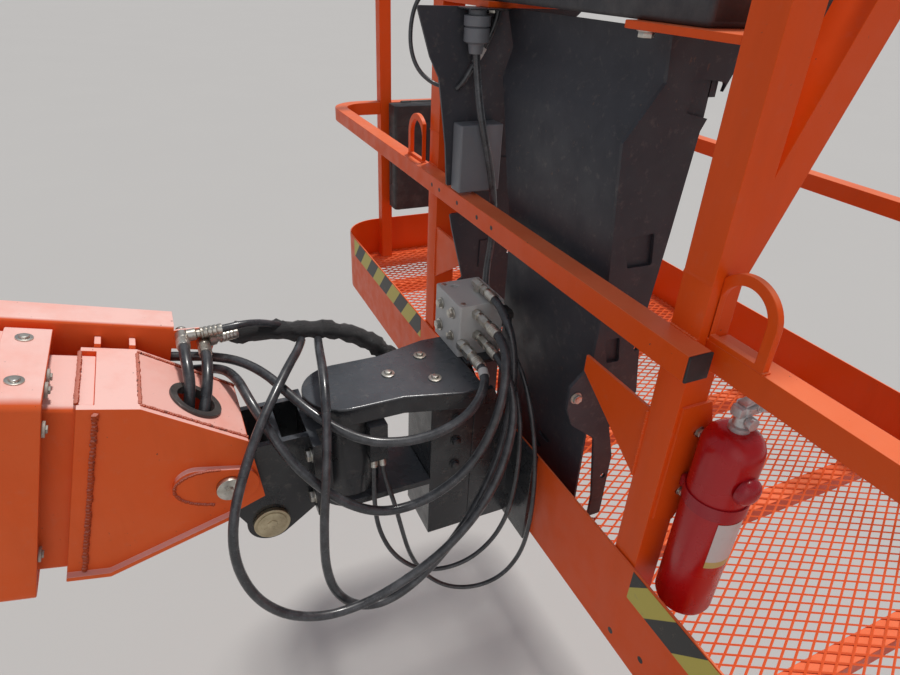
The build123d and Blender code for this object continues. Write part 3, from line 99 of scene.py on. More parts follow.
class Axis(Enum):
    """Directions that small parts face."""

    Y = (0, 1, 0)
    Z = (0, 0, 1)
    MINUS_X = (-1, 0, 0)
    MINUS_Y = (0, -1, 0)
    MINUS_Z = (0, 0, -1)

    @property
    def vector(self) -> Vector:
        """The direction as a vector."""
        return Vector(self.value)


class Frame:
    """Places on the part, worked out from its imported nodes."""

    deck_origin: Vector = Vector()

    @classmethod
    def measure(cls) -> None:
        """Find the platform's origin: the outer face of the toe board, at the floor's top."""
        toe_low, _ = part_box("toe_board")
        _, floor_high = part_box("floor_mesh")
        cls.deck_origin = Vector((toe_low.x, 0, floor_high.z))

    @classmethod
    def deck(cls, x: float, y: float, z: float) -> Vector:
        """Turn a place on the platform into a point of the part's frame.

        Args:
            x: millimetres inward from the toe board's boom side.
            y: millimetres from the platform's middle.
            z: millimetres above the floor.

        Returns:
            The point in metres.
        """
        return cls.deck_origin + Vector((x, y, z)) * MM

    @staticmethod
    def boom(along: float, side: float, rise: float) -> Vector:
        """Turn a place on the pitched boom into a point of the part's frame.

        Args:
            along: millimetres along the boom from its cut end.
            side: millimetres from the boom's middle plane.
            rise: millimetres above its centre line.

        Returns:
            The point in metres.
        """
        cos, sin = math.cos(BOOM_PITCH), math.sin(BOOM_PITCH)
        return Vector((along * cos + rise * sin, side, rise * cos - along * sin)) * MM


def sweep(start: int, end: int, step: int) -> list[float]:
    """List the angles of an arc.

    Args:
        start: the first angle, in degrees.
        end: the last angle, in degrees.
        step: degrees between two angles.

    Returns:
        The angles in radians.
    """
    return [math.radians(angle) for angle in range(start, end + 1, step)]


def standing(base: Vector, axis: Vector) -> Matrix:
    """Work out the placing of a shape that was made upright at the origin.

    Args:
        base: where its origin goes.
        axis: where its Z axis points.

    Returns:
        The matrix that places it.
    """
    return Matrix.Translation(base) @ axis.to_track_quat("Z", "Y").to_matrix().to_4x4()


def shown_mesh(thing: bpy.types.Object) -> bpy.types.Mesh:
    """Take the mesh that a helper object's curve or modifiers give, and remove the object.

    Args:
        thing: the helper object, not yet in the scene.

    Returns:
        Its mesh as Blender would show it.
    """
    bpy.context.scene.collection.objects.link(thing)
    bpy.context.view_layer.update()
    mesh = bpy.data.meshes.new_from_object(thing.evaluated_get(bpy.context.evaluated_depsgraph_get()))
    bpy.data.objects.remove(thing)
    return mesh


@dataclass(frozen=True)
class Patches:
    """Ragged patches on a surface: the noise they come from, and its levels where they begin and are full."""

    scale: float
    detail: float
    rough: float
    begin: float
    full: float


class Shader:
    """A material being built, with short helpers for the nodes it needs."""

    def __init__(self, name: str) -> None:
        """Start a material with one principled shader.

        Args:
            name: the material's name.
        """
        self.material = bpy.data.materials.new(name)
        self.material.use_nodes = True
        self.tree = self.material.node_tree
        self.surface = self.tree.nodes["Principled BSDF"]
        self.coordinates = self.tree.nodes.new("ShaderNodeTexCoord")

    def node(self, kind: str, **settings: object) -> bpy.types.Node:
        """Add a node and set its properties.

        Args:
            kind: the node's type name, without the ShaderNode prefix.
            **settings: properties to set on it.

        Returns:
            The new node.
        """
        made = self.tree.nodes.new("ShaderNode" + kind)
        for key, value in settings.items():
            setattr(made, key, value)
        return made

    def feed(self, socket: bpy.types.NodeSocket, value: object) -> None:
        """Set a socket, or link it when the value is another socket.

        Args:
            socket: the input to set.
            value: a number, a colour or a socket.
        """
        if isinstance(value, bpy.types.NodeSocket):
            self.tree.links.new(value, socket)
        elif isinstance(value, tuple) and len(value) == 3 and socket.type == "RGBA":
            socket.default_value = (*value, 1.0)
        else:
            socket.default_value = value

    def place(self, scale: Sequence[float] = (1, 1, 1),
              turn: Sequence[float] = (0, 0, 0)) -> bpy.types.NodeSocket:
        """Stretch and turn the object's coordinates for a pattern.

        Args:
            scale: the stretch along each axis.
            turn: the turn about each axis, in radians.

        Returns:
            The new coordinates.
        """
        mapping = self.node("Mapping")
        self.feed(mapping.inputs["Vector"], self.coordinates.outputs["Object"])
        mapping.inputs["Scale"].default_value = scale
        mapping.inputs["Rotation"].default_value = turn
        return mapping.outputs["Vector"]

    def noise(self, scale: float, detail: float = 4, rough: float = 0.55,
              vector: bpy.types.NodeSocket | None = None) -> bpy.types.NodeSocket:
        """Add a noise pattern.

        Args:
            scale: how many waves there are in a metre.
            detail: how many finer waves lie on them.
            rough: how strong the finer waves are.
            vector: coordinates to use in place of the object's.

        Returns:
            A value between 0 and 1.
        """
        made = self.node("TexNoise")
        self.feed(made.inputs["Vector"], vector or self.coordinates.outputs["Object"])
        self.feed(made.inputs["Scale"], scale)
        self.feed(made.inputs["Detail"], detail)
        self.feed(made.inputs["Roughness"], rough)
        return made.outputs["Fac"]

    def spread(self, value: bpy.types.NodeSocket, low: float, high: float, to_low: float = 0.0,
               to_high: float = 1.0) -> bpy.types.NodeSocket:
        """Spread a value from one range over another, and hold it within that.

        Args:
            value: the value.
            low: the start of its range.
            high: the end of its range.
            to_low: the result at the start.
            to_high: the result at the end.

        Returns:
            The result.
        """
        made = self.node("MapRange")
        for name, number in (("From Min", low), ("From Max", high), ("To Min", to_low), ("To Max", to_high)):
            made.inputs[name].default_value = number
        self.feed(made.inputs["Value"], value)
        return made.outputs["Result"]

    def patches(self, kind: Patches, outside: float = 0.0, inside: float = 1.0,
                vector: bpy.types.NodeSocket | None = None) -> bpy.types.NodeSocket:
        """Add patches of noise.

        Args:
            kind: the patches.
            outside: the result between them.
            inside: the result where they are full.
            vector: coordinates to use in place of the object's.

        Returns:
            The result.
        """
        value = self.noise(kind.scale, kind.detail, kind.rough, vector)
        return self.spread(value, kind.begin, kind.full, outside, inside)

    def maths(self, operation: str, a: object, b: object = 0.0) -> bpy.types.NodeSocket:
        """Add one step of arithmetic.

        Args:
            operation: its name in Blender.
            a: the first number or socket.
            b: the second number or socket.

        Returns:
            The result.
        """
        made = self.node("Math", operation=operation)
        self.feed(made.inputs[0], a)
        self.feed(made.inputs[1], b)
        return made.outputs[0]

    def mix(self, share: object, a: object, b: object) -> bpy.types.NodeSocket:
        """Mix two colours.

        Args:
            share: how much of the second colour there is.
            a: the first colour.
            b: the second colour.

        Returns:
            The mixed colour.
        """
        made = self.node("Mix", data_type="RGBA")
        self.feed(made.inputs[0], share)
        self.feed(made.inputs[6], a)
        self.feed(made.inputs[7], b)
        return made.outputs[2]

    def axes(self, vector: bpy.types.NodeSocket | None = None) -> bpy.types.Node:
        """Split coordinates into their X, Y and Z.

        Args:
            vector: coordinates to use in place of the object's.

        Returns:
            The node with the three outputs.
        """
        made = self.node("SeparateXYZ")
        self.feed(made.inputs[0], vector or self.coordinates.outputs["Object"])
        return made

    def finish(self, colour: object, rough: object, metal: float = 0.0, height: object = None,
               bump: float = 0.3, depth: float = 0.0005, **fixed: float) -> bpy.types.Material:
        """Connect the surface and return the material.

        Args:
            colour: base colour, or a socket that gives it.
            rough: roughness, or a socket that gives it.
            metal: how metallic the surface is.
            height: a socket that gives the relief, if there is one.
            bump: the strength of the relief.
            depth: the relief's depth in metres.
            **fixed: numbers for other sockets of the shader, with _ for spaces.

        Returns:
            The finished material.
        """
        self.feed(self.surface.inputs["Base Color"], colour)
        self.feed(self.surface.inputs["Roughness"], rough)
        self.surface.inputs["Metallic"].default_value = metal
        for name, number in fixed.items():
            self.surface.inputs[name.replace("_", " ")].default_value = number
        if height is not None:
            relief = self.node("Bump")
            relief.inputs["Strength"].default_value = bump
            relief.inputs["Distance"].default_value = depth
            self.feed(relief.inputs["Height"], height)
            self.feed(self.surface.inputs["Normal"], relief.outputs["Normal"])
        return self.material


@dataclass(frozen=True)
class Paint:
    """Brushed or sprayed paint on steel, with weathering, dust, scuffs and small chips."""

    name: str
    colour: Colour
    weathered: Colour
    rough: float = 0.4
    peel: float = 0.25
    weathering: float = 0.5
    chips: float = 0.72
    faded_and_lit_top: Colour | None = None
    dust: float = 0.2
    gloss: float = 0.5
    fading: Patches = Patches(2.6, 6, 0.6, 0.36, 0.68)
    streaks: Patches = Patches(9, 5, 0.65, 0.52, 0.75)
    streak_stretch: Place = (1, 1, 0.18)
    streak_share: float = 0.35
    streak_dark: float = 0.72
    fade_and_light_patches: Patches = Patches(7, 6, 0.62, 0.25, 0.6)
    fade_and_light_least: float = 0.55
    facing_up: tuple[float, float] = (0.55, 0.85)
    grime: Patches = Patches(60, 8, 0.7, 0.56, 0.8)
    chip_scale: float = 130
    chip_edge: float = 0.015
    chip_depth: float = 3.0
    scuffed: Patches = Patches(5.5, 3, 0.55, 0.5, 0.62)
    dulled: Patches = Patches(24, 5, 0.55, 0.3, 0.7)
    peel_scale: float = 420

    def build(self) -> bpy.types.Material:
        """Make the paint's material, lighter on the faces that look up where it has such a colour: partly
        sun-faded paint, partly painted light and sky reflection on the tops.

        Returns:
            The material.
        """
        s = Shader(self.name)
        shade = s.mix(s.patches(self.fading, 0, self.weathering), self.colour, self.weathered)
        streaks = s.patches(self.streaks, 0, self.streak_share, s.place(self.streak_stretch))
        shade = s.mix(streaks, shade, tuple(self.streak_dark * c for c in self.colour))
        # Faces that look up get a lighter colour through this mask: partly sun-faded paint, partly painted
        # light and sky reflection on the tops.
        if self.faded_and_lit_top:
            up = s.spread(s.axes(s.coordinates.outputs["Normal"]).outputs["Z"], *self.facing_up)
            worn = s.maths("MULTIPLY", up, s.patches(self.fade_and_light_patches, self.fade_and_light_least))
            shade = s.mix(worn, shade, self.faded_and_lit_top)
        shade = s.mix(s.patches(self.grime, 0, self.dust), shade, DUST)
        chip = s.patches(Patches(self.chip_scale, 3, 0.5, self.chips, self.chips + self.chip_edge))
        chip = s.maths("MULTIPLY", chip, s.patches(self.scuffed))
        shade = s.mix(chip, shade, PRIMER)
        rough = s.patches(self.dulled, self.rough - 0.08, self.rough + 0.14)
        height = s.maths("SUBTRACT", s.noise(self.peel_scale, 2), s.maths("MULTIPLY", chip, self.chip_depth))
        return s.finish(shade, rough, height=height, bump=self.peel, depth=0.0004,
                        Specular_IOR_Level=self.gloss)


@dataclass(frozen=True)
class Steel:
    """Bare, plated or cast metal with fine turning marks and stains."""

    name: str
    colour: Colour
    stain: Colour
    rough: float = 0.32
    grain: float = 300
    metal: float = 1.0
    stains: float = 0.6
    stained: Patches = Patches(35, 6, 0.7, 0.42, 0.72)
    specks: Patches = Patches(240, 4, 0.6, 0.62, 0.72)
    speck_share: float = 0.5
    speck_dark: float = 0.5
    dulled: Patches = Patches(70, 4, 0.55, 0.3, 0.7)

    def build(self) -> bpy.types.Material:
        """Make the metal's material.

        Returns:
            The material.
        """
        s = Shader(self.name)
        shade = s.mix(s.patches(self.stained, 0, self.stains), self.colour, self.stain)
        specks = s.patches(self.specks, 0, self.speck_share)
        shade = s.mix(specks, shade, tuple(self.speck_dark * c for c in self.stain))
        rough = s.patches(self.dulled, self.rough - 0.08, self.rough + 0.2)
        return s.finish(shade, rough, self.metal, s.noise(self.grain, 3), 0.25, 0.0002)


@dataclass(frozen=True)
class Rubber:
    """Hose cover or moulded rubber, dusty on top and scuffed where it rubs."""

    name: str
    colour: Colour = (0.022, 0.024, 0.028)
    worn: Colour = (0.115, 0.12, 0.13)
    rough: float = 0.34
    grain: float = 700
    fleck: Colour = (0.23, 0.23, 0.23)
    scuffs: Patches = Patches(38, 7, 0.7, 0.42, 0.72)
    scuff_share: float = 0.6
    flecks: Patches = Patches(520, 2, 0.55, 0.66, 0.7)
    fleck_share: float = 0.5
    dulled: Patches = Patches(50, 4, 0.55, 0.35, 0.65)

    def build(self) -> bpy.types.Material:
        """Make the rubber's material.

        Returns:
            The material.
        """
        s = Shader(self.name)
        shade = s.mix(s.patches(self.scuffs, 0, self.scuff_share), self.colour, self.worn)
        shade = s.mix(s.patches(self.flecks, 0, self.fleck_share), shade, self.fleck)
        rough = s.patches(self.dulled, self.rough - 0.1, self.rough + 0.18)
        return s.finish(shade, rough, height=s.noise(self.grain, 3), bump=0.2, depth=0.0002,
                        Coat_Weight=0.5, Coat_Roughness=0.18)


@dataclass(frozen=True)
class Plastic:
    """Moulded plastic with a fine leathery grain and dust in it."""

    name: str
    colour: Colour
    rough: float = 0.55
    grain: float = 450
    dusty: float = 0.25
    dust: Colour = (0.24, 0.22, 0.20)
    dusting: Patches = Patches(14, 7, 0.7, 0.45, 0.75)
    dulled: Patches = Patches(40, 3, 0.55, 0.3, 0.7)

    def build(self) -> bpy.types.Material:
        """Make the plastic's material.

        Returns:
            The material.
        """
        s = Shader(self.name)
        shade = s.mix(s.patches(self.dusting, 0, self.dusty), self.colour, self.dust)
        cells = s.node("TexVoronoi")
        s.feed(cells.inputs["Vector"], s.coordinates.outputs["Object"])
        cells.inputs["Scale"].default_value = self.grain
        rough = s.patches(self.dulled, self.rough - 0.08, self.rough + 0.12)
        return s.finish(shade, rough, height=cells.outputs["Distance"], bump=0.3, depth=0.0003)


@dataclass(frozen=True)
class Woven:
    """Braided fabric of a cable sleeve, woven of two slanted sets of strands."""

    name: str
    colour: Colour = (0.014, 0.014, 0.015)
    raised: Colour = (0.045, 0.043, 0.041)
    pitch: float = 380
    slant: float = 0.785
    waver: float = 1.2
    dusting: Patches = Patches(22, 6, 0.55, 0.42, 0.7)
    dust_share: float = 0.8

    def build(self) -> bpy.types.Material:
        """Make the fabric's material.

        Returns:
            The material.
        """
        s = Shader(self.name)
        waves = []
        for turn in (self.slant, -self.slant):
            wave = s.node("TexWave", wave_type="BANDS", bands_direction="X", wave_profile="SIN")
            s.feed(wave.inputs["Vector"], s.place(turn=(0, turn, turn)))
            wave.inputs["Scale"].default_value = self.pitch
            wave.inputs["Distortion"].default_value = self.waver
            waves.append(wave.outputs["Fac"])
        weave = s.maths("MULTIPLY", *waves)
        dust = s.patches(self.dusting, 0, self.dust_share)
        shade = s.mix(s.maths("MULTIPLY", weave, dust), self.colour, self.raised)
        return s.finish(shade, 0.92, height=weave, bump=0.8, depth=0.001, Sheen_Weight=0.25)


@dataclass(frozen=True)
class WarningTape:
    """Slanted black and yellow stripes across a strip that runs along Y."""

    name: str = "warning_tape"
    dark: Colour = (0.03, 0.03, 0.028)
    light: Colour = (0.56, 0.47, 0.08)
    dirt: Colour = (0.3, 0.24, 0.16)
    pitch: float = 0.128
    slant: float = 0.9
    whole_turns: float = 40.0
    half: float = 0.5
    edge: float = 0.005
    wear: Patches = Patches(80, 6, 0.7, 0.6, 0.75)
    wear_share: float = 0.5

    def build(self) -> bpy.types.Material:
        """Make the tape's material.

        Returns:
            The material.
        """
        s = Shader(self.name)
        parts = s.axes()
        run = s.maths("ADD", parts.outputs["Y"], s.maths("MULTIPLY", parts.outputs["Z"], self.slant))
        turns = s.maths("FRACT", s.maths("ADD", s.maths("DIVIDE", run, self.pitch), self.whole_turns))
        stripe = s.spread(turns, self.half - self.edge, self.half + self.edge)
        shade = s.mix(stripe, self.dark, self.light)
        shade = s.mix(s.patches(self.wear, 0, self.wear_share), shade, self.dirt)
        return s.finish(shade, 0.45, height=s.noise(200, 3), bump=0.15)


@dataclass(frozen=True)
class BottleLabel:
    """A bare paper label, white with a yellow foot, whose foot is a height on the platform."""

    name: str = "bottle_label"
    paper: Colour = (0.62, 0.62, 0.60)
    foot: Colour = (0.55, 0.47, 0.16)
    stain: Colour = (0.4, 0.36, 0.3)
    low: float = 208
    foot_height: float = 12
    edge: float = 0.0005
    stained: Patches = Patches(60, 6, 0.7, 0.5, 0.75)
    stain_share: float = 0.35

    def build(self) -> bpy.types.Material:
        """Make the label's material.

        Returns:
            The material.
        """
        s = Shader(self.name)
        level = Frame.deck(0, 0, self.low + self.foot_height).z
        shade = s.mix(s.spread(s.axes().outputs["Z"], level, level + self.edge), self.foot, self.paper)
        shade = s.mix(s.patches(self.stained, 0, self.stain_share), shade, self.stain)
        return s.finish(shade, 0.35, height=s.noise(150, 2), bump=0.1)


@dataclass(frozen=True)
class StudioFloor:
    """Plain pale floor of the studio."""

    name: str = "studio_floor"
    colour: Colour = (0.50, 0.49, 0.475)
    darker: Colour = (0.44, 0.43, 0.42)
    clouds: Patches = Patches(0.7, 3, 0.55, 0.3, 0.7)
    cloud_share: float = 0.12

    def build(self) -> bpy.types.Material:
        """Make the floor's material.

        Returns:
            The material.
        """
        s = Shader(self.name)
        return s.finish(s.mix(s.patches(self.clouds, 0, self.cloud_share), self.colour, self.darker), 0.8)


class Finish(Enum):
    """The finishes on this machine. Each value is the finish and the record's slot it stands for."""

    # The lighter colours given for faces that look up are partly faded paint and partly painted light on the
    # tops.
    BOOM_PAINT = (Paint("boom_enamel", (0.84, 0.120, 0.020), (0.84, 0.165, 0.05), rough=0.5, peel=0.4,
                        weathering=0.6, faded_and_lit_top=(0.96, 0.60, 0.54), dust=0.10, gloss=0.22), "boom_paint")
    WELD_PAINT = (Paint("weld_paint", (0.50, 0.070, 0.016), (0.24, 0.05, 0.02), rough=0.6, peel=0.6,
                        weathering=0.8, chips=0.6, faded_and_lit_top=(0.66, 0.26, 0.20), gloss=0.2), "boom_paint")
    DECK_PAINT = (Paint("deck_paint", (0.80, 0.088, 0.005), (0.80, 0.105, 0.012), rough=0.36, peel=0.22,
                        weathering=0.35, chips=0.74, faded_and_lit_top=(0.90, 0.21, 0.085), dust=0.08, gloss=0.24),
                  "platform_paint")
    # On the black enamel the lighter top is mostly a painted reflection of the sky, with some faded paint.
    BLACK_PAINT = (Paint("black_enamel", (0.011, 0.012, 0.014), (0.045, 0.048, 0.054), rough=0.26, peel=0.3,
                         weathering=0.7, faded_and_lit_top=(0.080, 0.088, 0.100), dust=0.25, gloss=0.6), "black_paint")
    GREY_PAINT = (Paint("grey_enamel", (0.030, 0.033, 0.042), (0.060, 0.058, 0.068), rough=0.48, peel=0.3,
                        weathering=0.6, chips=0.69), "grey_paint")
    BLOCK = (Paint("block_grey", (0.48, 0.48, 0.47), (0.58, 0.58, 0.56), rough=0.45, peel=0.3, chips=0.74),
             "block_metal")
    MODULE = (Plastic("module_grey", (0.16, 0.17, 0.19), 0.45), "grey_metal")
    ZINC = (Steel("zinc_steel", (0.62, 0.60, 0.55), (0.35, 0.30, 0.22)), "bright_steel")
    YELLOW_ZINC = (Steel("yellow_zinc", (0.58, 0.50, 0.34), (0.32, 0.25, 0.15), 0.36), "bright_steel")
    CHROME = (Steel("chrome_rod", (0.78, 0.78, 0.78), (0.5, 0.5, 0.5), 0.12, 200, stains=0.2), "bright_steel")
    CAST = (Steel("cast_alloy", (0.66, 0.66, 0.66), (0.42, 0.42, 0.42), 0.45, 500), "lever_metal")
    HOSE = (Rubber("hose_cover"), "hose_rubber")
    GROMMET = (Rubber("grommet_rubber", (0.035, 0.033, 0.032), (0.12, 0.10, 0.09), 0.6), "hose_rubber")
    SLEEVE = (Woven("woven_sleeve"), "sleeve_fabric")
    BLACK_PLASTIC = (Plastic("black_moulding", (0.022, 0.022, 0.024), 0.5), "black_plastic")
    CONSOLE = (Plastic("console_moulding", (0.045, 0.045, 0.05)), "console_plastic")
    PAD = (Plastic("pad_nylon", (0.42, 0.39, 0.34), 0.5), "pad_plastic")
    RED = (Paint("red_enamel", (0.44, 0.003, 0.006), (0.48, 0.010, 0.014), rough=0.24, peel=0.12,
                 weathering=0.3, chips=0.78, dust=0.04), "red_paint")
    RED_PLASTIC = (Plastic("red_plastic", (0.36, 0.006, 0.016), 0.3, 300, 0.1), "red_paint")
    TAPE = (WarningTape(), "platform_paint")
    LABEL = (BottleLabel(), "grey_metal")
    WHITE_TAG = (Plastic("white_tag", (0.62, 0.62, 0.60), 0.4, 300, 0.2), "grey_metal")

    @property
    def slot(self) -> str:
        """The record's material slot."""
        return self.value[1]

    @property
    def material(self) -> bpy.types.Material:
        """The finish's material, made when it is first asked for."""
        found = bpy.data.materials.get(self.value[0].name)
        return found or self.value[0].build()


@dataclass(frozen=True)
class Disc:
    """A round or six-sided step of a turned part, between two heights on its axis, all in metres."""

    low: float
    high: float
    radius: float
    sides: int = 24
    tip: float | None = None
    edge: float = 0.0006


def hexagon_bolt(size: float) -> tuple[Disc, Disc]:
    """Size the washer and the head of a hexagon bolt.

    Args:
        size: the bolt's thread size in millimetres.

    Returns:
        The washer and the head.
    """
    thick = size * 0.17 * MM
    return (Disc(0, thick, size * 1.1 * MM, edge=0.0005),
            Disc(thick, thick + size * 0.62 * MM, size * 0.88 * MM, 6, edge=0.0008))


class Metalwork:
    """A mesh being modelled, with the few shapes that a fitter's parts are made of."""

    def __init__(self) -> None:
        """Start with no shapes."""
        self.bm = bmesh.new()

    def box(self, low: Vector, high: Vector, edge: float = 0.0, turn: Matrix | None = None) -> None:
        """Add a box between two corners, with rounded edges.

        Args:
            low: lowest corner.
            high: highest corner.
            edge: radius of the rounded edges, in metres.
            turn: a matrix that is applied to the finished box.
        """
        made = bmesh.ops.create_cube(self.bm, size=1.0)["verts"]
        bmesh.ops.scale(self.bm, vec=high - low, verts=made)
        bmesh.ops.translate(self.bm, vec=(low + high) / 2, verts=made)
        if edge:
            edges = list({e for v in made for e in v.link_edges})
            made = bmesh.ops.bevel(self.bm, geom=edges, offset=edge, segments=2, profile=0.5,
                                   affect="EDGES", material=-1)["verts"] + [v for v in made if v.is_valid]
        if turn is not None:
            bmesh.ops.transform(self.bm, matrix=turn, verts=list(set(made)))

    def rod(self, start: Vector, end: Vector, radius: float, sides: int = 20, tip: float | None = None,
            edge: float = 0.0) -> None:
        """Add a round or many-sided rod between two points.

        Args:
            start: centre of the first end.
            end: centre of the second end.
            radius: radius at the first end.
            sides: number of sides.
            tip: radius at the second end, the same unless given.
            edge: size of the bevel on the rims.
        """
        along = end - start
        made = bmesh.ops.create_cone(self.bm, cap_ends=True, segments=sides, radius1=radius,
                                     radius2=radius if tip is None else tip, depth=along.length)["verts"]
        bmesh.ops.transform(self.bm, matrix=standing((start + end) / 2, along), verts=made)
        if edge:
            rims = {e for v in made for e in v.link_edges if len(e.link_faces) == 2 and
                    any(len(f.verts) > 4 for f in e.link_faces)}
            bmesh.ops.bevel(self.bm, geom=list(rims), offset=edge, segments=2, profile=0.5, affect="EDGES",
                            material=-1)

    def stack(self, seat: Vector, axis: Vector, discs: Sequence[Disc]) -> None:
        """Add the steps of a turned part, such as a bolt's washer and head.

        Args:
            seat: the point of height 0.
            axis: the direction of height, of length 1.
            discs: the steps.
        """
        for disc in discs:
            low, high = seat + axis * disc.low, seat + axis * disc.high
            self.rod(low, high, disc.radius, disc.sides, disc.tip, disc.edge)

    def lathe(self, profile: Sequence[tuple[float, float]], base: Vector, axis: Vector,
              sides: int = 32) -> None:
        """Turn a profile of (radius, height) pairs about an axis.

        Args:
            profile: radii and heights in metres, from foot to top.
            base: the point of height 0 on the axis.
            axis: the direction of height.
            sides: number of steps round the axis.
        """
        before = set(self.bm.verts)
        verts = [self.bm.verts.new((radius, 0, height)) for radius, height in profile]
        edges = [self.bm.edges.new(pair) for pair in zip(verts, verts[1:])]
        bmesh.ops.spin(self.bm, geom=verts + edges, cent=(0, 0, 0), axis=(0, 0, 1), steps=sides,
                       angle=math.tau, use_merge=True)
        bmesh.ops.remove_doubles(self.bm, verts=[v for v in self.bm.verts if v not in before], dist=1e-6)
        made = [v for v in self.bm.verts if v not in before]
        bmesh.ops.transform(self.bm, matrix=standing(base, axis), verts=made)

    def bead(self, points: Sequence[Vector], radius: float = 0.0035) -> None:
        """Add a weld bead: overlapping drops along a line of points.

        Args:
            points: the line.
            radius: the drops' mean radius in metres.
        """
        picks = random.Random(SEED)
        for start, end in zip(points, points[1:]):
            count = max(1, round((end - start).length / (radius * 1.1)))
            for step in range(count):
                at = start.lerp(end, (step + 0.5) / count)
                size = radius * picks.uniform(0.85, 1.15)
                jitter = Vector(picks.uniform(-0.12, 0.12) * radius for _ in range(3))
                bmesh.ops.create_icosphere(self.bm, subdivisions=1, radius=size,
                                           matrix=Matrix.Translation(at + jitter))

    def piece(self, name: str, finish: Finish, body: Body, smooth: float = 35) -> bpy.types.Object:
        """Close the mesh and put it on its body as a finished piece.

        Args:
            name: the piece's name.
            finish: its finish.
            body: the body it rides on.
            smooth: edges flatter than this many degrees are shaded smooth.

        Returns:
            The new object.
        """
        bmesh.ops.recalc_face_normals(self.bm, faces=self.bm.faces)
        return dress(self.mesh(name), name, finish, body, smooth)

    def mesh(self, name: str) -> bpy.types.Mesh:
        """Write the shapes to a mesh and let go of them.

        Args:
            name: the mesh's name.

        Returns:
            The mesh.
        """
        made = bpy.data.meshes.new(name)
        self.bm.to_mesh(made)
        self.bm.free()
        return made


def dress(mesh: bpy.types.Mesh, name: str, finish: Finish, body: Body | None,
          smooth: float = 35) -> bpy.types.Object:
    """Make an object of a mesh, give it its finish and let it ride on its body.

    Args:
        mesh: the finished mesh, in the part's frame.
        name: the piece's name.
        finish: its finish.
        body: the body it rides on, or None, which leaves the piece on no body.
        smooth: edges flatter than this many degrees are shaded smooth.

    Returns:
        The new object.
    """
    mesh.shade_smooth()
    mesh.set_sharp_from_angle(angle=math.radians(smooth))
    mesh.materials.clear()
    mesh.materials.append(finish.material)
    made = bpy.data.objects.new(name, mesh)
    bpy.context.scene.collection.objects.link(made)
    if body is not None:
        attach(made, body.value)
    LOG.info("made %s with %d faces", name, len(mesh.polygons))
    return made


def fasten(name: str, finish: Finish, body: Body, discs: Sequence[Disc], axis: Vector,
           seats: Sequence[Vector]) -> None:
    """Make one piece of like fasteners that face the same way.

    Args:
        name: the piece's name.
        finish: its finish.
        body: the body it rides on.
        discs: the steps of one fastener.
        axis: the direction that all of them face.
        seats: where they sit.
    """
    work = Metalwork()
    for seat in seats:
        work.stack(seat, axis, discs)
    work.piece(name, finish, body)


@dataclass(frozen=True)
class NodeDress:
    """How some solid nodes are shown: finish, body, and the soft edge that their copies get."""

    finish: Finish
    body: Body
    edge: float
    nodes: tuple[str, ...]


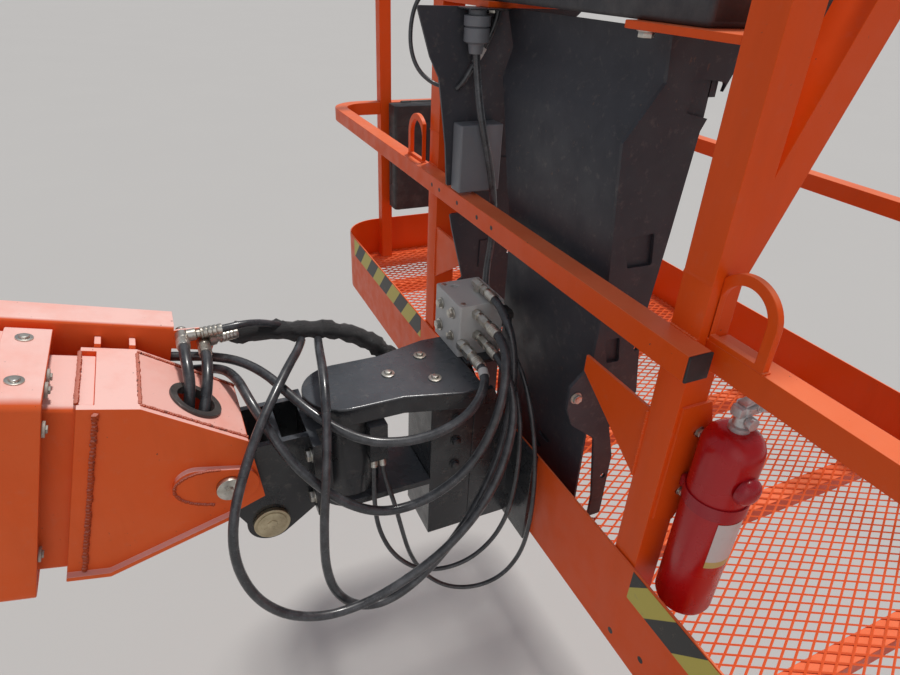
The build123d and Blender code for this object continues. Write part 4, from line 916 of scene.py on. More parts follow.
@dataclass
class SolidPieces:
    """The machine's solid pieces, shown as merged copies with softened edges."""

    rows: tuple[NodeDress, ...] = (
        NodeDress(Finish.BOOM_PAINT, Body.MID_BOOM, 1.5, ("mid_boom_tube", "mid_boom_collar")),
        NodeDress(Finish.PAD, Body.MID_BOOM, 1.5, ("front_wear_pads",)),
        NodeDress(Finish.BOOM_PAINT, Body.FLY_BOOM, 1.5, ("fly_boom_tube", "fly_nose", "hose_channel",
                                                          "channel_bracket")),
        NodeDress(Finish.PAD, Body.FLY_BOOM, 1.5, ("rear_wear_pads",)),
        NodeDress(Finish.GROMMET, Body.FLY_BOOM, 1.2, ("hose_grommet",)),
        NodeDress(Finish.ZINC, Body.FLY_BOOM, 1.5, ("level_pivot_pin", "barrel_pin", "channel_fittings")),
        NodeDress(Finish.BLACK_PAINT, Body.LEVEL_BARREL, 1.5, ("level_barrel",)),
        NodeDress(Finish.CHROME, Body.LEVEL_ROD, 1.0, ("level_rod",)),
        NodeDress(Finish.BLACK_PAINT, Body.SUPPORT, 1.5, ("support_bracket", "rotator_housing",
                                                          "rotator_ports")),
        NodeDress(Finish.YELLOW_ZINC, Body.SUPPORT, 1.5, ("lower_pin_stubs",)),
        NodeDress(Finish.ZINC, Body.PLATFORM, 1.0, ("rotator_shaft",)),
        NodeDress(Finish.BLACK_PAINT, Body.PLATFORM, 2.0, ("cap_plate", "lower_plate", "rotator_column",
                                                           "mount_plates", "valve_bracket")),
        NodeDress(Finish.DECK_PAINT, Body.PLATFORM, 1.5, ("floor_frame", "toe_board", "rail_posts",
                                                          "boom_side_posts", "mid_rail", "top_rail",
                                                          "lanyard_loops", "post_gussets",
                                                          "extinguisher_bracket", "gate_hinges",
                                                          "console_shelf")),
        NodeDress(Finish.BLACK_PLASTIC, Body.PLATFORM, 1.5, ("rail_plug", "document_box")),
        NodeDress(Finish.GREY_PAINT, Body.PLATFORM, 1.0, ("support_sides", "support_panel")),
        NodeDress(Finish.CONSOLE, Body.PLATFORM, 6.0, ("control_console",)),
        NodeDress(Finish.MODULE, Body.PLATFORM, 3.0, ("control_module",)),
        NodeDress(Finish.BLOCK, Body.PLATFORM, 2.0, ("valve_block",)),
        NodeDress(Finish.DECK_PAINT, Body.GATE, 1.5, ("gate_frame",)),
        NodeDress(Finish.BLACK_PLASTIC, Body.BOX_LID, 2.5, ("document_box_lid",)),
    )

    merge: float = 1e-5
    flat_angle: float = 0.6
    smooth: float = 28
    soft_steps: int = 2
    soft_angle: float = 40

    def build(self, nodes: dict[str, bpy.types.Object]) -> None:
        """Make the copies and hide the nodes they stand for.

        Args:
            nodes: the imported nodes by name.
        """
        for row in self.rows:
            for name in row.nodes:
                self._copy(nodes[name], row)

    def _copy(self, node: bpy.types.Object, row: NodeDress) -> None:
        """Make one copy of a node with its doubles merged, its flats joined and its edges rounded.

        Args:
            node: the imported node.
            row: how it is shown.
        """
        work = Metalwork()
        bm = work.bm
        bm.from_mesh(node.data)
        bmesh.ops.remove_doubles(bm, verts=bm.verts, dist=self.merge)
        bmesh.ops.dissolve_limit(bm, angle_limit=math.radians(self.flat_angle), verts=bm.verts,
                                 edges=bm.edges)
        name = "shown_" + node.name
        made = dress(work.mesh(name), name, row.finish, row.body, self.smooth)
        soft = made.modifiers.new("soft_edges", "BEVEL")
        soft.width = row.edge * MM
        soft.segments = self.soft_steps
        soft.limit_method = "ANGLE"
        soft.angle_limit = math.radians(self.soft_angle)
        soft.harden_normals = True
        soft.use_clamp_overlap = True
        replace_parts(made, node.name)


@dataclass(frozen=True)
class HoseRoute:
    """One hose: its outer diameter and the points that it passes, in metres on the platform.

    The ferrule is the length of its crimped end, and swinging is the share of a hose over the head, from
    its platform end, that is made as its near length.
    """

    diameter: float
    points: tuple[Place, ...]
    ferrule: float = 0.0
    swinging: float = 0.8


LEVEL_ROUTES: dict[str, HoseRoute] = {
    "hose_level_a": HoseRoute(0.018, (
        (-0.588, 0.092, 0.380), (-0.588, 0.068, 0.380), (-0.588, 0.044, 0.376), (-0.588, 0.022, 0.367),
        (-0.589, 0.002, 0.351), (-0.594, -0.011, 0.329), (-0.601, -0.018, 0.303)), 0.022),
    "hose_level_b": HoseRoute(0.018, (
        (-0.556, 0.092, 0.360), (-0.556, 0.068, 0.360), (-0.557, 0.044, 0.357), (-0.560, 0.022, 0.349),
        (-0.565, 0.002, 0.336), (-0.572, -0.015, 0.318), (-0.581, -0.028, 0.298)), 0.022),
}
HEAD_ROUTES: dict[str, HoseRoute] = {
    "hose_upper": HoseRoute(0.017, (
        (-0.102, -0.052, 0.318), (-0.102, -0.076, 0.318), (-0.107, -0.101, 0.315), (-0.120, -0.124, 0.306),
        (-0.140, -0.142, 0.293), (-0.166, -0.153, 0.279), (-0.198, -0.156, 0.265), (-0.238, -0.153, 0.254),
        (-0.282, -0.143, 0.248), (-0.328, -0.127, 0.250), (-0.370, -0.102, 0.264), (-0.410, -0.064, 0.286),
        (-0.440, -0.014, 0.304), (-0.466, 0.038, 0.318), (-0.502, 0.084, 0.326), (-0.550, 0.116, 0.327),
        (-0.592, 0.131, 0.327), (-0.632, 0.138, 0.332)), 0.026, 0.80),
    "hose_middle": HoseRoute(0.017, (
        (-0.074, -0.052, 0.380), (-0.074, -0.076, 0.380), (-0.075, -0.100, 0.374), (-0.079, -0.121, 0.361),
        (-0.086, -0.138, 0.342), (-0.094, -0.150, 0.318), (-0.103, -0.158, 0.290), (-0.114, -0.162, 0.256),
        (-0.130, -0.165, 0.218), (-0.154, -0.166, 0.180), (-0.188, -0.166, 0.148), (-0.232, -0.165, 0.124),
        (-0.280, -0.162, 0.112), (-0.332, -0.156, 0.116), (-0.382, -0.142, 0.142), (-0.424, -0.124, 0.182),
        (-0.456, -0.103, 0.222), (-0.478, -0.076, 0.258), (-0.494, -0.042, 0.288), (-0.506, -0.002, 0.308),
        (-0.514, 0.042, 0.317), (-0.532, 0.088, 0.314), (-0.574, 0.124, 0.301), (-0.618, 0.140, 0.292),
        (-0.646, 0.144, 0.295)), 0.026, 0.82),
    "hose_low_loop": HoseRoute(0.016, (
        (-0.070, -0.050, 0.333), (-0.070, -0.075, 0.333), (-0.070, -0.099, 0.327), (-0.070, -0.121, 0.314),
        (-0.071, -0.140, 0.296), (-0.073, -0.155, 0.273), (-0.078, -0.166, 0.245), (-0.088, -0.176, 0.208),
        (-0.106, -0.187, 0.164), (-0.136, -0.198, 0.116), (-0.180, -0.208, 0.070), (-0.236, -0.216, 0.030),
        (-0.302, -0.220, -0.002), (-0.372, -0.222, -0.024), (-0.440, -0.221, -0.026), (-0.500, -0.216, -0.004),
        (-0.544, -0.207, 0.040), (-0.568, -0.196, 0.096), (-0.574, -0.182, 0.156), (-0.562, -0.162, 0.212),
        (-0.536, -0.130, 0.260), (-0.500, -0.084, 0.302), (-0.460, -0.032, 0.330), (-0.426, 0.020, 0.342),
        (-0.400, 0.070, 0.337), (-0.386, 0.114, 0.327)), 0.024, 0.80),
    "hose_long_loop": HoseRoute(0.016, (
        (-0.045, 0.018, 0.412), (-0.045, -0.008, 0.412), (-0.045, -0.033, 0.405), (-0.045, -0.055, 0.392),
        (-0.045, -0.074, 0.373), (-0.046, -0.089, 0.349), (-0.048, -0.100, 0.320), (-0.052, -0.111, 0.284),
        (-0.061, -0.124, 0.242), (-0.077, -0.139, 0.194), (-0.102, -0.156, 0.144), (-0.138, -0.174, 0.092),
        (-0.184, -0.190, 0.042), (-0.236, -0.202, -0.004), (-0.290, -0.209, -0.040), (-0.344, -0.210, -0.058),
        (-0.392, -0.204, -0.046), (-0.424, -0.194, -0.006), (-0.434, -0.182, 0.048), (-0.430, -0.170, 0.110),
        (-0.421, -0.154, 0.172), (-0.410, -0.138, 0.232), (-0.399, -0.110, 0.286), (-0.388, -0.066, 0.323),
        (-0.378, -0.014, 0.341), (-0.370, 0.036, 0.342), (-0.362, 0.078, 0.333), (-0.355, 0.112, 0.323)),
        0.024, 0.84),
    "cable_sleeve": HoseRoute(0.042, (
        (-0.604, 0.150, 0.362), (-0.546, 0.151, 0.350), (-0.480, 0.147, 0.345), (-0.412, 0.143, 0.340),
        (-0.346, 0.138, 0.331), (-0.286, 0.134, 0.314), (-0.238, 0.132, 0.282), (-0.204, 0.131, 0.238),
        (-0.176, 0.130, 0.190), (-0.140, 0.124, 0.150), (-0.096, 0.112, 0.120), (-0.052, 0.103, 0.106),
        (-0.012, 0.103, 0.106)), 0.0, 0.66),
}
ROTATOR_ROUTES: dict[str, HoseRoute] = {
    "hose_rotator_a": HoseRoute(0.009, (
        (-0.308, -0.068, 0.160), (-0.308, -0.068, 0.128), (-0.314, -0.084, 0.068), (-0.312, -0.100, 0.008),
        (-0.290, -0.120, -0.050), (-0.248, -0.136, -0.092), (-0.195, -0.148, -0.105), (-0.140, -0.158, -0.090),
        (-0.096, -0.165, -0.046), (-0.070, -0.167, 0.010), (-0.058, -0.164, 0.068), (-0.050, -0.157, 0.122),
        (-0.045, -0.147, 0.172), (-0.041, -0.133, 0.216), (-0.040, -0.114, 0.252), (-0.040, -0.093, 0.280),
        (-0.040, -0.072, 0.295), (-0.040, -0.051, 0.301), (-0.040, -0.030, 0.301)), 0.018),
    "hose_rotator_b": HoseRoute(0.009, (
        (-0.292, -0.068, 0.160), (-0.292, -0.068, 0.126), (-0.276, -0.090, 0.058), (-0.264, -0.100, -0.012),
        (-0.250, -0.108, -0.080), (-0.222, -0.120, -0.140), (-0.176, -0.142, -0.176), (-0.120, -0.164, -0.176),
        (-0.070, -0.182, -0.142), (-0.038, -0.190, -0.078), (-0.026, -0.187, -0.008), (-0.020, -0.179, 0.062),
        (-0.018, -0.168, 0.126), (-0.018, -0.153, 0.182), (-0.020, -0.135, 0.232), (-0.022, -0.114, 0.272),
        (-0.024, -0.092, 0.299), (-0.024, -0.071, 0.312), (-0.024, -0.051, 0.318), (-0.024, -0.030, 0.318)),
        0.018),
}

MOUTH_HOSE = HoseRoute(0.014, (
    (-0.522, 0.110, 0.381), (-0.502, 0.111, 0.382), (-0.480, 0.116, 0.380), (-0.458, 0.125, 0.373),
    (-0.436, 0.134, 0.362), (-0.416, 0.140, 0.350)))
MOUTH_CRIMPS: tuple[tuple[str, Place, Place], ...] = (
    ("mouth_crimp_upper", (-580, 108, 380), (-522, 110, 381)),
    ("mouth_crimp_lower", (-548, 112, 361), (-498, 132, 356)))
HARNESS_ROUTES: dict[str, HoseRoute] = {
    "control_cable": HoseRoute(0.015, (
        (-0.013, 0.194, 0.862), (-0.013, 0.194, 0.835), (-0.012, 0.193, 0.806), (-0.009, 0.189, 0.772),
        (-0.008, 0.180, 0.738), (-0.006, 0.170, 0.704), (0.001, 0.166, 0.672), (0.010, 0.165, 0.640),
        (0.019, 0.164, 0.604), (0.026, 0.162, 0.568), (0.030, 0.159, 0.530), (0.030, 0.156, 0.490),
        (0.027, 0.153, 0.450), (0.020, 0.148, 0.412), (0.013, 0.138, 0.380), (0.008, 0.124, 0.358),
        (0.005, 0.104, 0.346))),
    "switch_lead": HoseRoute(0.008, (
        (0.020, 0.300, 0.930), (-0.004, 0.300, 0.931), (-0.036, 0.300, 0.926), (-0.068, 0.300, 0.910),
        (-0.090, 0.300, 0.882), (-0.099, 0.299, 0.846), (-0.100, 0.295, 0.808), (-0.092, 0.283, 0.776),
        (-0.076, 0.264, 0.756), (-0.056, 0.244, 0.747), (-0.042, 0.227, 0.745))),
    "panel_lead": HoseRoute(0.011, (
        (0.036, 0.207, 0.894), (0.034, 0.207, 0.872), (0.026, 0.208, 0.848), (0.013, 0.209, 0.822),
        (-0.003, 0.210, 0.796), (-0.018, 0.211, 0.772), (-0.030, 0.214, 0.754), (-0.036, 0.2195, 0.747))),
}


@dataclass
class Hoses:
    """Hydraulic hoses and the cable sleeve, which sweep from the boom over the head to the platform."""

    sides: int = 16
    wrinkle: float = 0.0085
    folds: tuple[tuple[float, float], ...] = ((38, 1.0), (95, 0.6), (210, 0.3))
    sleeve_tight: float = 0.94
    sleeve_flat: float = 0.80
    sleeve_wide: float = 1.12
    sleeve_start: float = 0.098
    sleeve_ragged: tuple[float, float] = (60, 0.012)
    bundle: float = 0.42
    tag_gap: float = 0.008
    tag_thick: float = 0.0008
    crimps: int = 5
    mouth_rings: int = 4

    def build(self) -> None:
        """Make every hose with its crimped ferrules: the levelling hoses ride on the fly boom, the other hoses
        on no body, and each ferrule on the body of its end.
        """
        for name, route in LEVEL_ROUTES.items():
            line = self._line(name, route)
            mesh = self._tube(name, line, route.diameter / 2)
            hose = dress(mesh, "tube_" + name, Finish.HOSE, Body.FLY_BOOM, 60)
            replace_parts(hose, name)
            self._declare(hose, route, line, [self._ferrule(name, route, line[0], line[3], Body.FLY_BOOM)])
        for name, route in ROTATOR_ROUTES.items():
            line = self._line(name, route)
            mesh = self._tube(name, line, route.diameter / 2)
            hose = dress(mesh, "tube_" + name, Finish.HOSE, None, 60)
            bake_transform(hose)
            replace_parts(hose, name)
            ends = [self._ferrule(name + "_low", route, line[0], line[3], Body.SUPPORT),
                    self._ferrule(name + "_high", route, line[-1], line[-4], Body.PLATFORM)]
            self._declare(hose, route, line, ends)
        for name, route in HEAD_ROUTES.items():
            self._across_the_head(name, route)

    def _across_the_head(self, name: str, route: HoseRoute) -> None:
        """Make one hose as two lengths that meet over the rotator's support.

        Args:
            name: the solid hose it stands for.
            route: its route.
        """
        line = self._line(name, route)
        finish = Finish.HOSE
        if name == "cable_sleeve":
            line.reverse()
            finish = Finish.SLEEVE
        cut = round(len(line) * route.swinging)
        near = (line[:cut + 1], line[0], Body.PLATFORM, "_near")
        far = (line[cut:], line[-1], Body.FLY_BOOM, "_far")
        for part, free, moved, end in (near, far):
            mesh = self._tube(name, part, route.diameter / 2)
            if finish is Finish.SLEEVE:
                self._crumple(mesh, part)
            hose = dress(mesh, "tube_" + name + end, finish, None, 70)
            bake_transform(hose)
            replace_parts(hose, name)
            tips = []
            if end == "_near" and route.ferrule:
                tips.append(self._ferrule(name, route, line[0], line[3], moved))
            if end == "_near" and name == "hose_upper":
                tips.append(self._tag(route, line))
            self._declare(hose, route, part, tips)
        if finish is Finish.SLEEVE:
            self._mouth()

    @staticmethod
    def _declare(hose: bpy.types.Object, route: HoseRoute, line: list[Vector],
                 tips: list[bpy.types.Object]) -> None:
        """Take a hose and the pieces on it, and do nothing with them.

        Args:
            hose: the piece; not used.
            route: its route; not used.
            line: the points that it follows; not used.
            tips: the pieces on it; not used.
        """

    @staticmethod
    def _curve(name: str, kind: str, places: Sequence[Vector]) -> bpy.types.Curve:
        """Make the data of a curve of one spline.

        Args:
            name: its name.
            kind: the spline's type.
            places: its points.

        Returns:
            The curve.
        """
        data = bpy.data.curves.new(name, "CURVE")
        data.dimensions = "3D"
        spline = data.splines.new(kind)
        spline.points.add(len(places) - 1)
        for point, place in zip(spline.points, places):
            point.co = (*place, 1)
        return data

    def _line(self, name: str, route: HoseRoute) -> list[Vector]:
        """Read the smooth line of a route.

        Args:
            name: the hose's name.
            route: its route.

        Returns:
            The line's points, close together.
        """
        places = [Frame.deck_origin + Vector(place) for place in route.points]
        data = self._curve("route_" + name, "NURBS", places)
        data.resolution_u = 6
        data.splines[0].order_u = 3
        data.splines[0].use_endpoint_u = True
        mesh = shown_mesh(bpy.data.objects.new("route_" + name, data))
        line = [v.co.copy() for v in mesh.vertices]
        bpy.data.meshes.remove(mesh)
        return line

    def _tube(self, name: str, line: list[Vector], radius: float) -> bpy.types.Mesh:
        """Make a capped tube along a line.

        Args:
            name: the hose's name.
            line: the points that it follows.
            radius: its radius in metres.

        Returns:
            The tube's mesh.
        """
        data = self._curve("bevel_" + name, "POLY", line)
        data.bevel_depth = radius
        data.bevel_resolution = self.sides // 4
        data.use_fill_caps = True
        return shown_mesh(bpy.data.objects.new("bevel_" + name, data))

    def _crumple(self, mesh: bpy.types.Mesh, line: list[Vector]) -> None:
        """Flatten the sleeve and pull its fabric into folds, past the bare bundle that enters it.

        Args:
            mesh: the tube's mesh.
            line: the points that it follows.
        """
        mouth = (Frame.deck_origin + Vector(HEAD_ROUTES["cable_sleeve"].points[0])).x
        ragged_scale, ragged_depth = self.sleeve_ragged
        for vert in mesh.vertices:
            middle = min(line, key=lambda point: (point - vert.co).length_squared)
            away = vert.co - middle
            if middle.x - mouth < self.sleeve_start + ragged_depth * noise.noise(vert.co * ragged_scale):
                vert.co = middle + away * self.bundle
                continue
            away.z *= self.sleeve_flat
            away.y *= self.sleeve_wide
            fold = sum(share * noise.noise(vert.co * scale) for scale, share in self.folds)
            vert.co = middle + away * (self.sleeve_tight + fold * self.wrinkle / max(away.length, 0.006))

    def _tag(self, route: HoseRoute, line: list[Vector]) -> bpy.types.Object:
        """Make the bare white tag that is wrapped round a hose, just past its ferrule.

        Args:
            route: the hose's route.
            line: the points that it follows.

        Returns:
            The tag.
        """
        past = [point for point in line if (point - line[0]).length > route.ferrule + self.tag_gap]
        along = past[4] - past[0]
        wide = route.diameter / 2 + self.tag_thick
        return self._wrap("hose_tag", past[0], along, wide - 0.0006, wide, 24)

    @staticmethod
    def _wrap(name: str, start: Vector, along: Vector, inner: float, outer: float,
              sides: int) -> bpy.types.Object:
        """Make a white tag as a thin tube round a hose.

        Args:
            name: the piece's name.
            start: the middle of its first end.
            along: the way to its second end.
            inner: its inner radius.
            outer: its outer radius.
            sides: number of steps round it.

        Returns:
            The tag.
        """
        work = Metalwork()
        long = along.length
        wall = [(inner, 0), (outer, 0), (outer, long), (inner, long), (inner, 0)]
        work.lathe(wall, start, along.normalized(), sides)
        return work.piece(name, Finish.WHITE_TAG, Body.PLATFORM)

    def _mouth(self) -> None:
        """Make the crimps at the channel's mouth, and the hose that runs from one into the sleeve.
        """
        crimps = []
        for name, start, end in MOUTH_CRIMPS:
            low, high = Frame.deck(*start), Frame.deck(*end)
            size = (high - low).length
            rings = [(0.004, 0), (0.0105, 0), (0.0105, size * 0.24), (0.0072, size * 0.28),
                     (0.0072, size * 0.36), (0.0100, size * 0.40)]
            for step in range(self.mouth_rings):
                at = size * (0.44 + 0.13 * step)
                rings += [(0.0100, at), (0.0088, at + size * 0.02), (0.0100, at + size * 0.06)]
            rings += [(0.0100, size), (0.004, size)]
            work = Metalwork()
            work.lathe(rings, low, (high - low).normalized(), 24)
            crimps.append(work.piece(name, Finish.ZINC, Body.FLY_BOOM))
        line = self._line("mouth_hose", MOUTH_HOSE)
        mesh = self._tube("mouth_hose", line, MOUTH_HOSE.diameter / 2)
        hose = dress(mesh, "mouth_hose", Finish.HOSE, None, 60)
        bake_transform(hose)
        self._declare(hose, MOUTH_HOSE, line, crimps)

    def _ferrule(self, name: str, route: HoseRoute, end: Vector, inner: Vector,
                 body: Body) -> bpy.types.Object:
        """Make the crimped steel ferrule on a hose's end.

        Args:
            name: the hose's name, with the end where it has two.
            route: its route.
            end: the hose's end.
            inner: a point further in.
            body: the body that the end rides on.

        Returns:
            The ferrule.
        """
        wide, size = route.diameter / 2, route.ferrule
        crest = wide + (0.0022 if wide > 0.006 else 0.0032)
        rings = [(wide * 0.6, -0.001), (crest - 0.0006, -0.001)]
        for step in range(self.crimps):
            low = size * step / self.crimps
            rings += [(crest, low + 0.001), (crest, low + size / 7), (crest - 0.0008, low + size / 6)]
        rings += [(crest - 0.0012, size), (wide * 0.6, size)]
        work = Metalwork()
        work.lathe(rings, end, (inner - end).normalized(), 20)
        return work.piece("ferrule_" + name, Finish.ZINC, body)


@dataclass
class ValveGear:
    """The valve block's steel fittings, plugs and screws."""

    fittings: tuple[tuple[float, float, float, float], ...] = (
        (-102, 318, 12, 62), (-70, 333, 10, 60), (-74, 380, 10, 62), (-40, 301, 7, 40), (-24, 318, 7, 40))
    face: float = 10
    top: Place = (-45, 75, 412)
    top_run: float = 57
    top_nut: float = 22
    plug_face: float = -108
    plugs: tuple[tuple[float, float, float], ...] = ((40, 372, 9), (92, 368, 9), (40, 322, 8), (96, 318, 10))
    top_face: float = 397
    screws: tuple[tuple[float, float], ...] = ((-96, 22), (-96, 112), (-24, 112))
    screw: tuple[Disc, ...] = (Disc(0, 0.001, 0.0052, edge=0.0003),)

    def build(self) -> None:
        """Make the fittings and plugs."""
        work = Metalwork()
        for x, z, radius, run in self.fittings:
            self._fitting(work, Frame.deck(x, self.face, z), radius, run)
        x, y, z = self.top
        work.rod(Frame.deck(x, y - 10, z - 15), Frame.deck(x, y - 10, z), 0.008, 6)
        work.rod(Frame.deck(x, y, z), Frame.deck(x, y - self.top_nut, z), 0.0098, 6, edge=0.0008)
        self._fitting(work, Frame.deck(x, y - self.top_nut, z), 9.5, self.top_run - self.top_nut)
        made = work.piece("steel_fittings", Finish.ZINC, Body.PLATFORM)
        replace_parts(made, "valve_fittings")
        work = Metalwork()
        for y, z, size in self.plugs:
            plug = (Disc(0, 0.003, size * 1.25 * MM), Disc(0.003, 0.010, size * MM, 6, edge=0.0008))
            work.stack(Frame.deck(self.plug_face, y, z), Axis.MINUS_X.vector, plug)
        for x, y in self.screws:
            work.stack(Frame.deck(x, y, self.top_face), Axis.Z.vector, self.screw)
        work.piece("block_plugs", Finish.ZINC, Body.PLATFORM)

    @staticmethod
    def _fitting(work: Metalwork, seat: Vector, radius: float, run: float) -> None:
        """Add an adapter, its neck and the swivel nut of a hose end.

        Args:
            work: the mesh they go into.
            seat: where the adapter meets the block.
            radius: the adapter's radius in millimetres.
            run: the length of all of it in millimetres.
        """
        for low, high, share, sides in ((0, 0.26, 1.0, 6), (0.26, 0.40, 0.72, 20), (0.40, 0.78, 1.0, 6),
                                        (0.78, 1.0, 0.74, 20)):
            step = Disc(low * run * MM, high * run * MM, radius * MM * share, sides)
            work.stack(seat, Axis.MINUS_Y.vector, (step,))


@dataclass
class BoomTrim:
    """Welds, pads, washers and bolts on the boom sections and the nose."""

    nose_half: float = 88
    nose_top: float = 157
    nose_rear: float = 812
    top_seams: tuple[tuple[float, float], ...] = ((788, 0.004), (868, 0.0035))
    boss: Place = (989, -98.5, 14)
    boss_half: tuple[float, float] = (64, 35)
    collar_top: float = 184
    collar_screws: tuple[tuple[float, float], ...] = ((716, -60), (716, 60))
    collar_screw: tuple[Disc, ...] = (Disc(0, 0.002, 0.012, 28), Disc(0.002, 0.005, 0.0075, 24, 0.0066))
    collar_front: float = 750.3
    pad_washers: tuple[tuple[float, float], ...] = ((-60, 170), (-25, 170), (-92, 128), (-92, -98))
    pad_washer: tuple[Disc, ...] = (Disc(0, 0.004, 0.0115, 28, edge=0.0008), Disc(0.004, 0.007, 0.006, 6))

    def build(self) -> None:
        """Make the boom's trim."""
        self._welds()
        up, ahead = (Frame.boom(*axis) / MM for axis in ((0, 0, 1), (1, 0, 0)))
        fasten("collar_bolts", Finish.ZINC, Body.MID_BOOM, self.collar_screw, up,
               [Frame.boom(along, side, self.collar_top) for along, side in self.collar_screws])
        fasten("pad_screws", Finish.PAD, Body.MID_BOOM, self.pad_washer, ahead,
               [Frame.boom(self.collar_front, side, rise) for side, rise in self.pad_washers])

    def _welds(self) -> None:
        """Make the weld beads of the nose."""
        work = Metalwork()
        for side in (-1, 1):
            edge = side * (self.nose_half + 0.5)
            work.bead([Frame.boom(self.nose_rear, edge, z) for z in range(-150, 151, 25)], 0.0052)
            work.bead([Frame.boom(868 + 160 * t / 8, side * 77, 158 - 62 * t / 8) for t in range(9)], 0.003)
            work.bead([Frame.boom(940 + t * 3, edge, -20 + t * 0.2) for t in range(6)], 0.003)
        for along, radius in self.top_seams:
            work.bead([Frame.boom(along, y, self.nose_top + 0.5) for y in range(-74, 75, 12)], radius)
        along, side, rise = self.boss
        half_long, half_high = self.boss_half
        work.bead([Frame.boom(along + half_long * math.cos(a), side, rise + half_high * math.sin(a))
                   for a in sweep(90, 270, 15)], 0.003)
        work.piece("nose_welds", Finish.WELD_PAINT, Body.FLY_BOOM)


@dataclass
class HeadTrim:
    """Bolts, washers and pins of the levelling head and the rotator."""

    cap_top: float = 287
    cap_bolts: tuple[tuple[float, float], ...] = ((-253, 4), (-174, 43), (-177, -40))
    cap_bolt: tuple[Disc, ...] = (Disc(0, 0.003, 0.0125, 28, edge=0.0007),
                                  Disc(0.003, 0.0075, 0.0075, 6, 0.0068, 0.0007))
    column_side: float = -60
    column_bolts: tuple[tuple[float, float], ...] = ((-137, 199), (-137, 144), (-137, 84))
    foot_face: float = -420
    foot_bolts: tuple[tuple[float, float], ...] = ((-70, 110), (70, 110), (-70, 205), (70, 205))
    pivot: Place = (1008, 104, 14)
    pivot_cap: tuple[Disc, ...] = (Disc(0, 0.003, 0.021, 32, edge=0.001), Disc(0.003, 0.008, 0.006, 6))
    lower_pin: Place = (-500, -71, 71)
    lower_cap: tuple[Disc, ...] = (Disc(0, 0.001, 0.026, 32, edge=0.0003),
                                   Disc(0, 0.002, 0.010, 6, edge=0.0005))

    def build(self) -> None:
        """Make the head's fasteners."""
        fasten("rotator_bolts", Finish.ZINC, Body.PLATFORM, self.cap_bolt, Axis.Z.vector,
               [Frame.deck(x, y, self.cap_top) for x, y in self.cap_bolts])
        fasten("column_bolts", Finish.BLACK_PAINT, Body.PLATFORM, hexagon_bolt(10), Axis.MINUS_Y.vector,
               [Frame.deck(x, self.column_side, z) for x, z in self.column_bolts])
        fasten("foot_bolts", Finish.ZINC, Body.SUPPORT, hexagon_bolt(12), Axis.MINUS_X.vector,
               [Frame.deck(self.foot_face, y, z) for y, z in self.foot_bolts])
        work = Metalwork()
        along, side, rise = self.pivot
        for way in (-1, 1):
            work.stack(Frame.boom(along, way * side, rise), Axis.Y.vector * way, self.pivot_cap)
        work.piece("pivot_caps", Finish.ZINC, Body.FLY_BOOM)
        fasten("lower_pin_bolt", Finish.YELLOW_ZINC, Body.SUPPORT, self.lower_cap, Axis.MINUS_Y.vector,
               [Frame.deck(*self.lower_pin)])


@dataclass
class DeckFloor:
    """The floor of expanded metal, in metres."""

    long_way: float = 0.040
    short_way: float = 0.021
    strand: float = 0.0021
    start: float = 0.004
    depth: float = 0.906
    width: float = 2.430
    corner: float = 0.124
    into_board: float = 0.0015
    cuts: int = 32

    def build(self) -> None:
        """Make the floor from one diamond, repeated both ways and trimmed to the toe board."""
        whole = Metalwork()
        whole.bm.from_mesh(self._repeated(self._diamond()))
        bmesh.ops.translate(whole.bm, vec=(self.start, -self.width / 2, 0), verts=whole.bm.verts)
        self._trim(whole.bm)
        below = Frame.deck_origin + Vector((0, 0, -self.strand))
        bmesh.ops.translate(whole.bm, vec=below, verts=whole.bm.verts)
        made = dress(whole.mesh("expanded_floor"), "expanded_floor", Finish.DECK_PAINT, Body.PLATFORM, 30)
        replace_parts(made, "floor_mesh")

    def _diamond(self) -> bpy.types.Mesh:
        """Make the four strands round one opening.

        Returns:
            Their mesh.
        """
        work = Metalwork()
        half_long, half_short = self.long_way / 2, self.short_way / 2
        knots = [Vector(knot) for knot in ((half_long, 0, 0), (0, half_short, 0), (-half_long, 0, 0),
                                           (0, -half_short, 0))]
        for a, b in zip(knots, knots[1:] + knots[:1]):
            made = bmesh.ops.create_cone(work.bm, cap_ends=False, segments=4, radius1=self.strand,
                                         radius2=self.strand, depth=(b - a).length)["verts"]
            bmesh.ops.transform(work.bm, matrix=standing((a + b) / 2, b - a), verts=made)
        return work.mesh("diamond")

    def _repeated(self, mesh: bpy.types.Mesh) -> bpy.types.Mesh:
        """Repeat a mesh over the floor.

        Args:
            mesh: one opening's strands.

        Returns:
            The mesh of all of them.
        """
        cell = bpy.data.objects.new("diamond", mesh)
        for size, way, step in ((self.depth, self.long_way, (self.long_way, 0, 0)),
                                (self.width, self.short_way, (0, self.short_way, 0))):
            row = cell.modifiers.new("row", "ARRAY")
            row.use_relative_offset = False
            row.use_constant_offset = True
            row.count = int(size / way) + 2
            row.constant_offset_displace = step
        return shown_mesh(cell)

    def _trim(self, bm: bmesh.types.BMesh) -> None:
        """Cut the strands along planes that touch the toe board's rounded outline.

        Args:
            bm: the strands, measured from the platform's origin.
        """
        middle = self.start + self.depth / 2
        for number in range(self.cuts):
            turn = math.tau * number / self.cuts
            out = Vector((math.cos(turn), math.sin(turn), 0))
            bend = Vector((middle + math.copysign(self.depth / 2 - self.corner, out.x),
                           math.copysign(self.width / 2 - self.corner, out.y), 0))
            bmesh.ops.bisect_plane(bm, geom=bm.verts[:] + bm.edges[:] + bm.faces[:], dist=1e-6,
                                   plane_co=bend + out * (self.corner + self.into_board), plane_no=out,
                                   clear_outer=True)


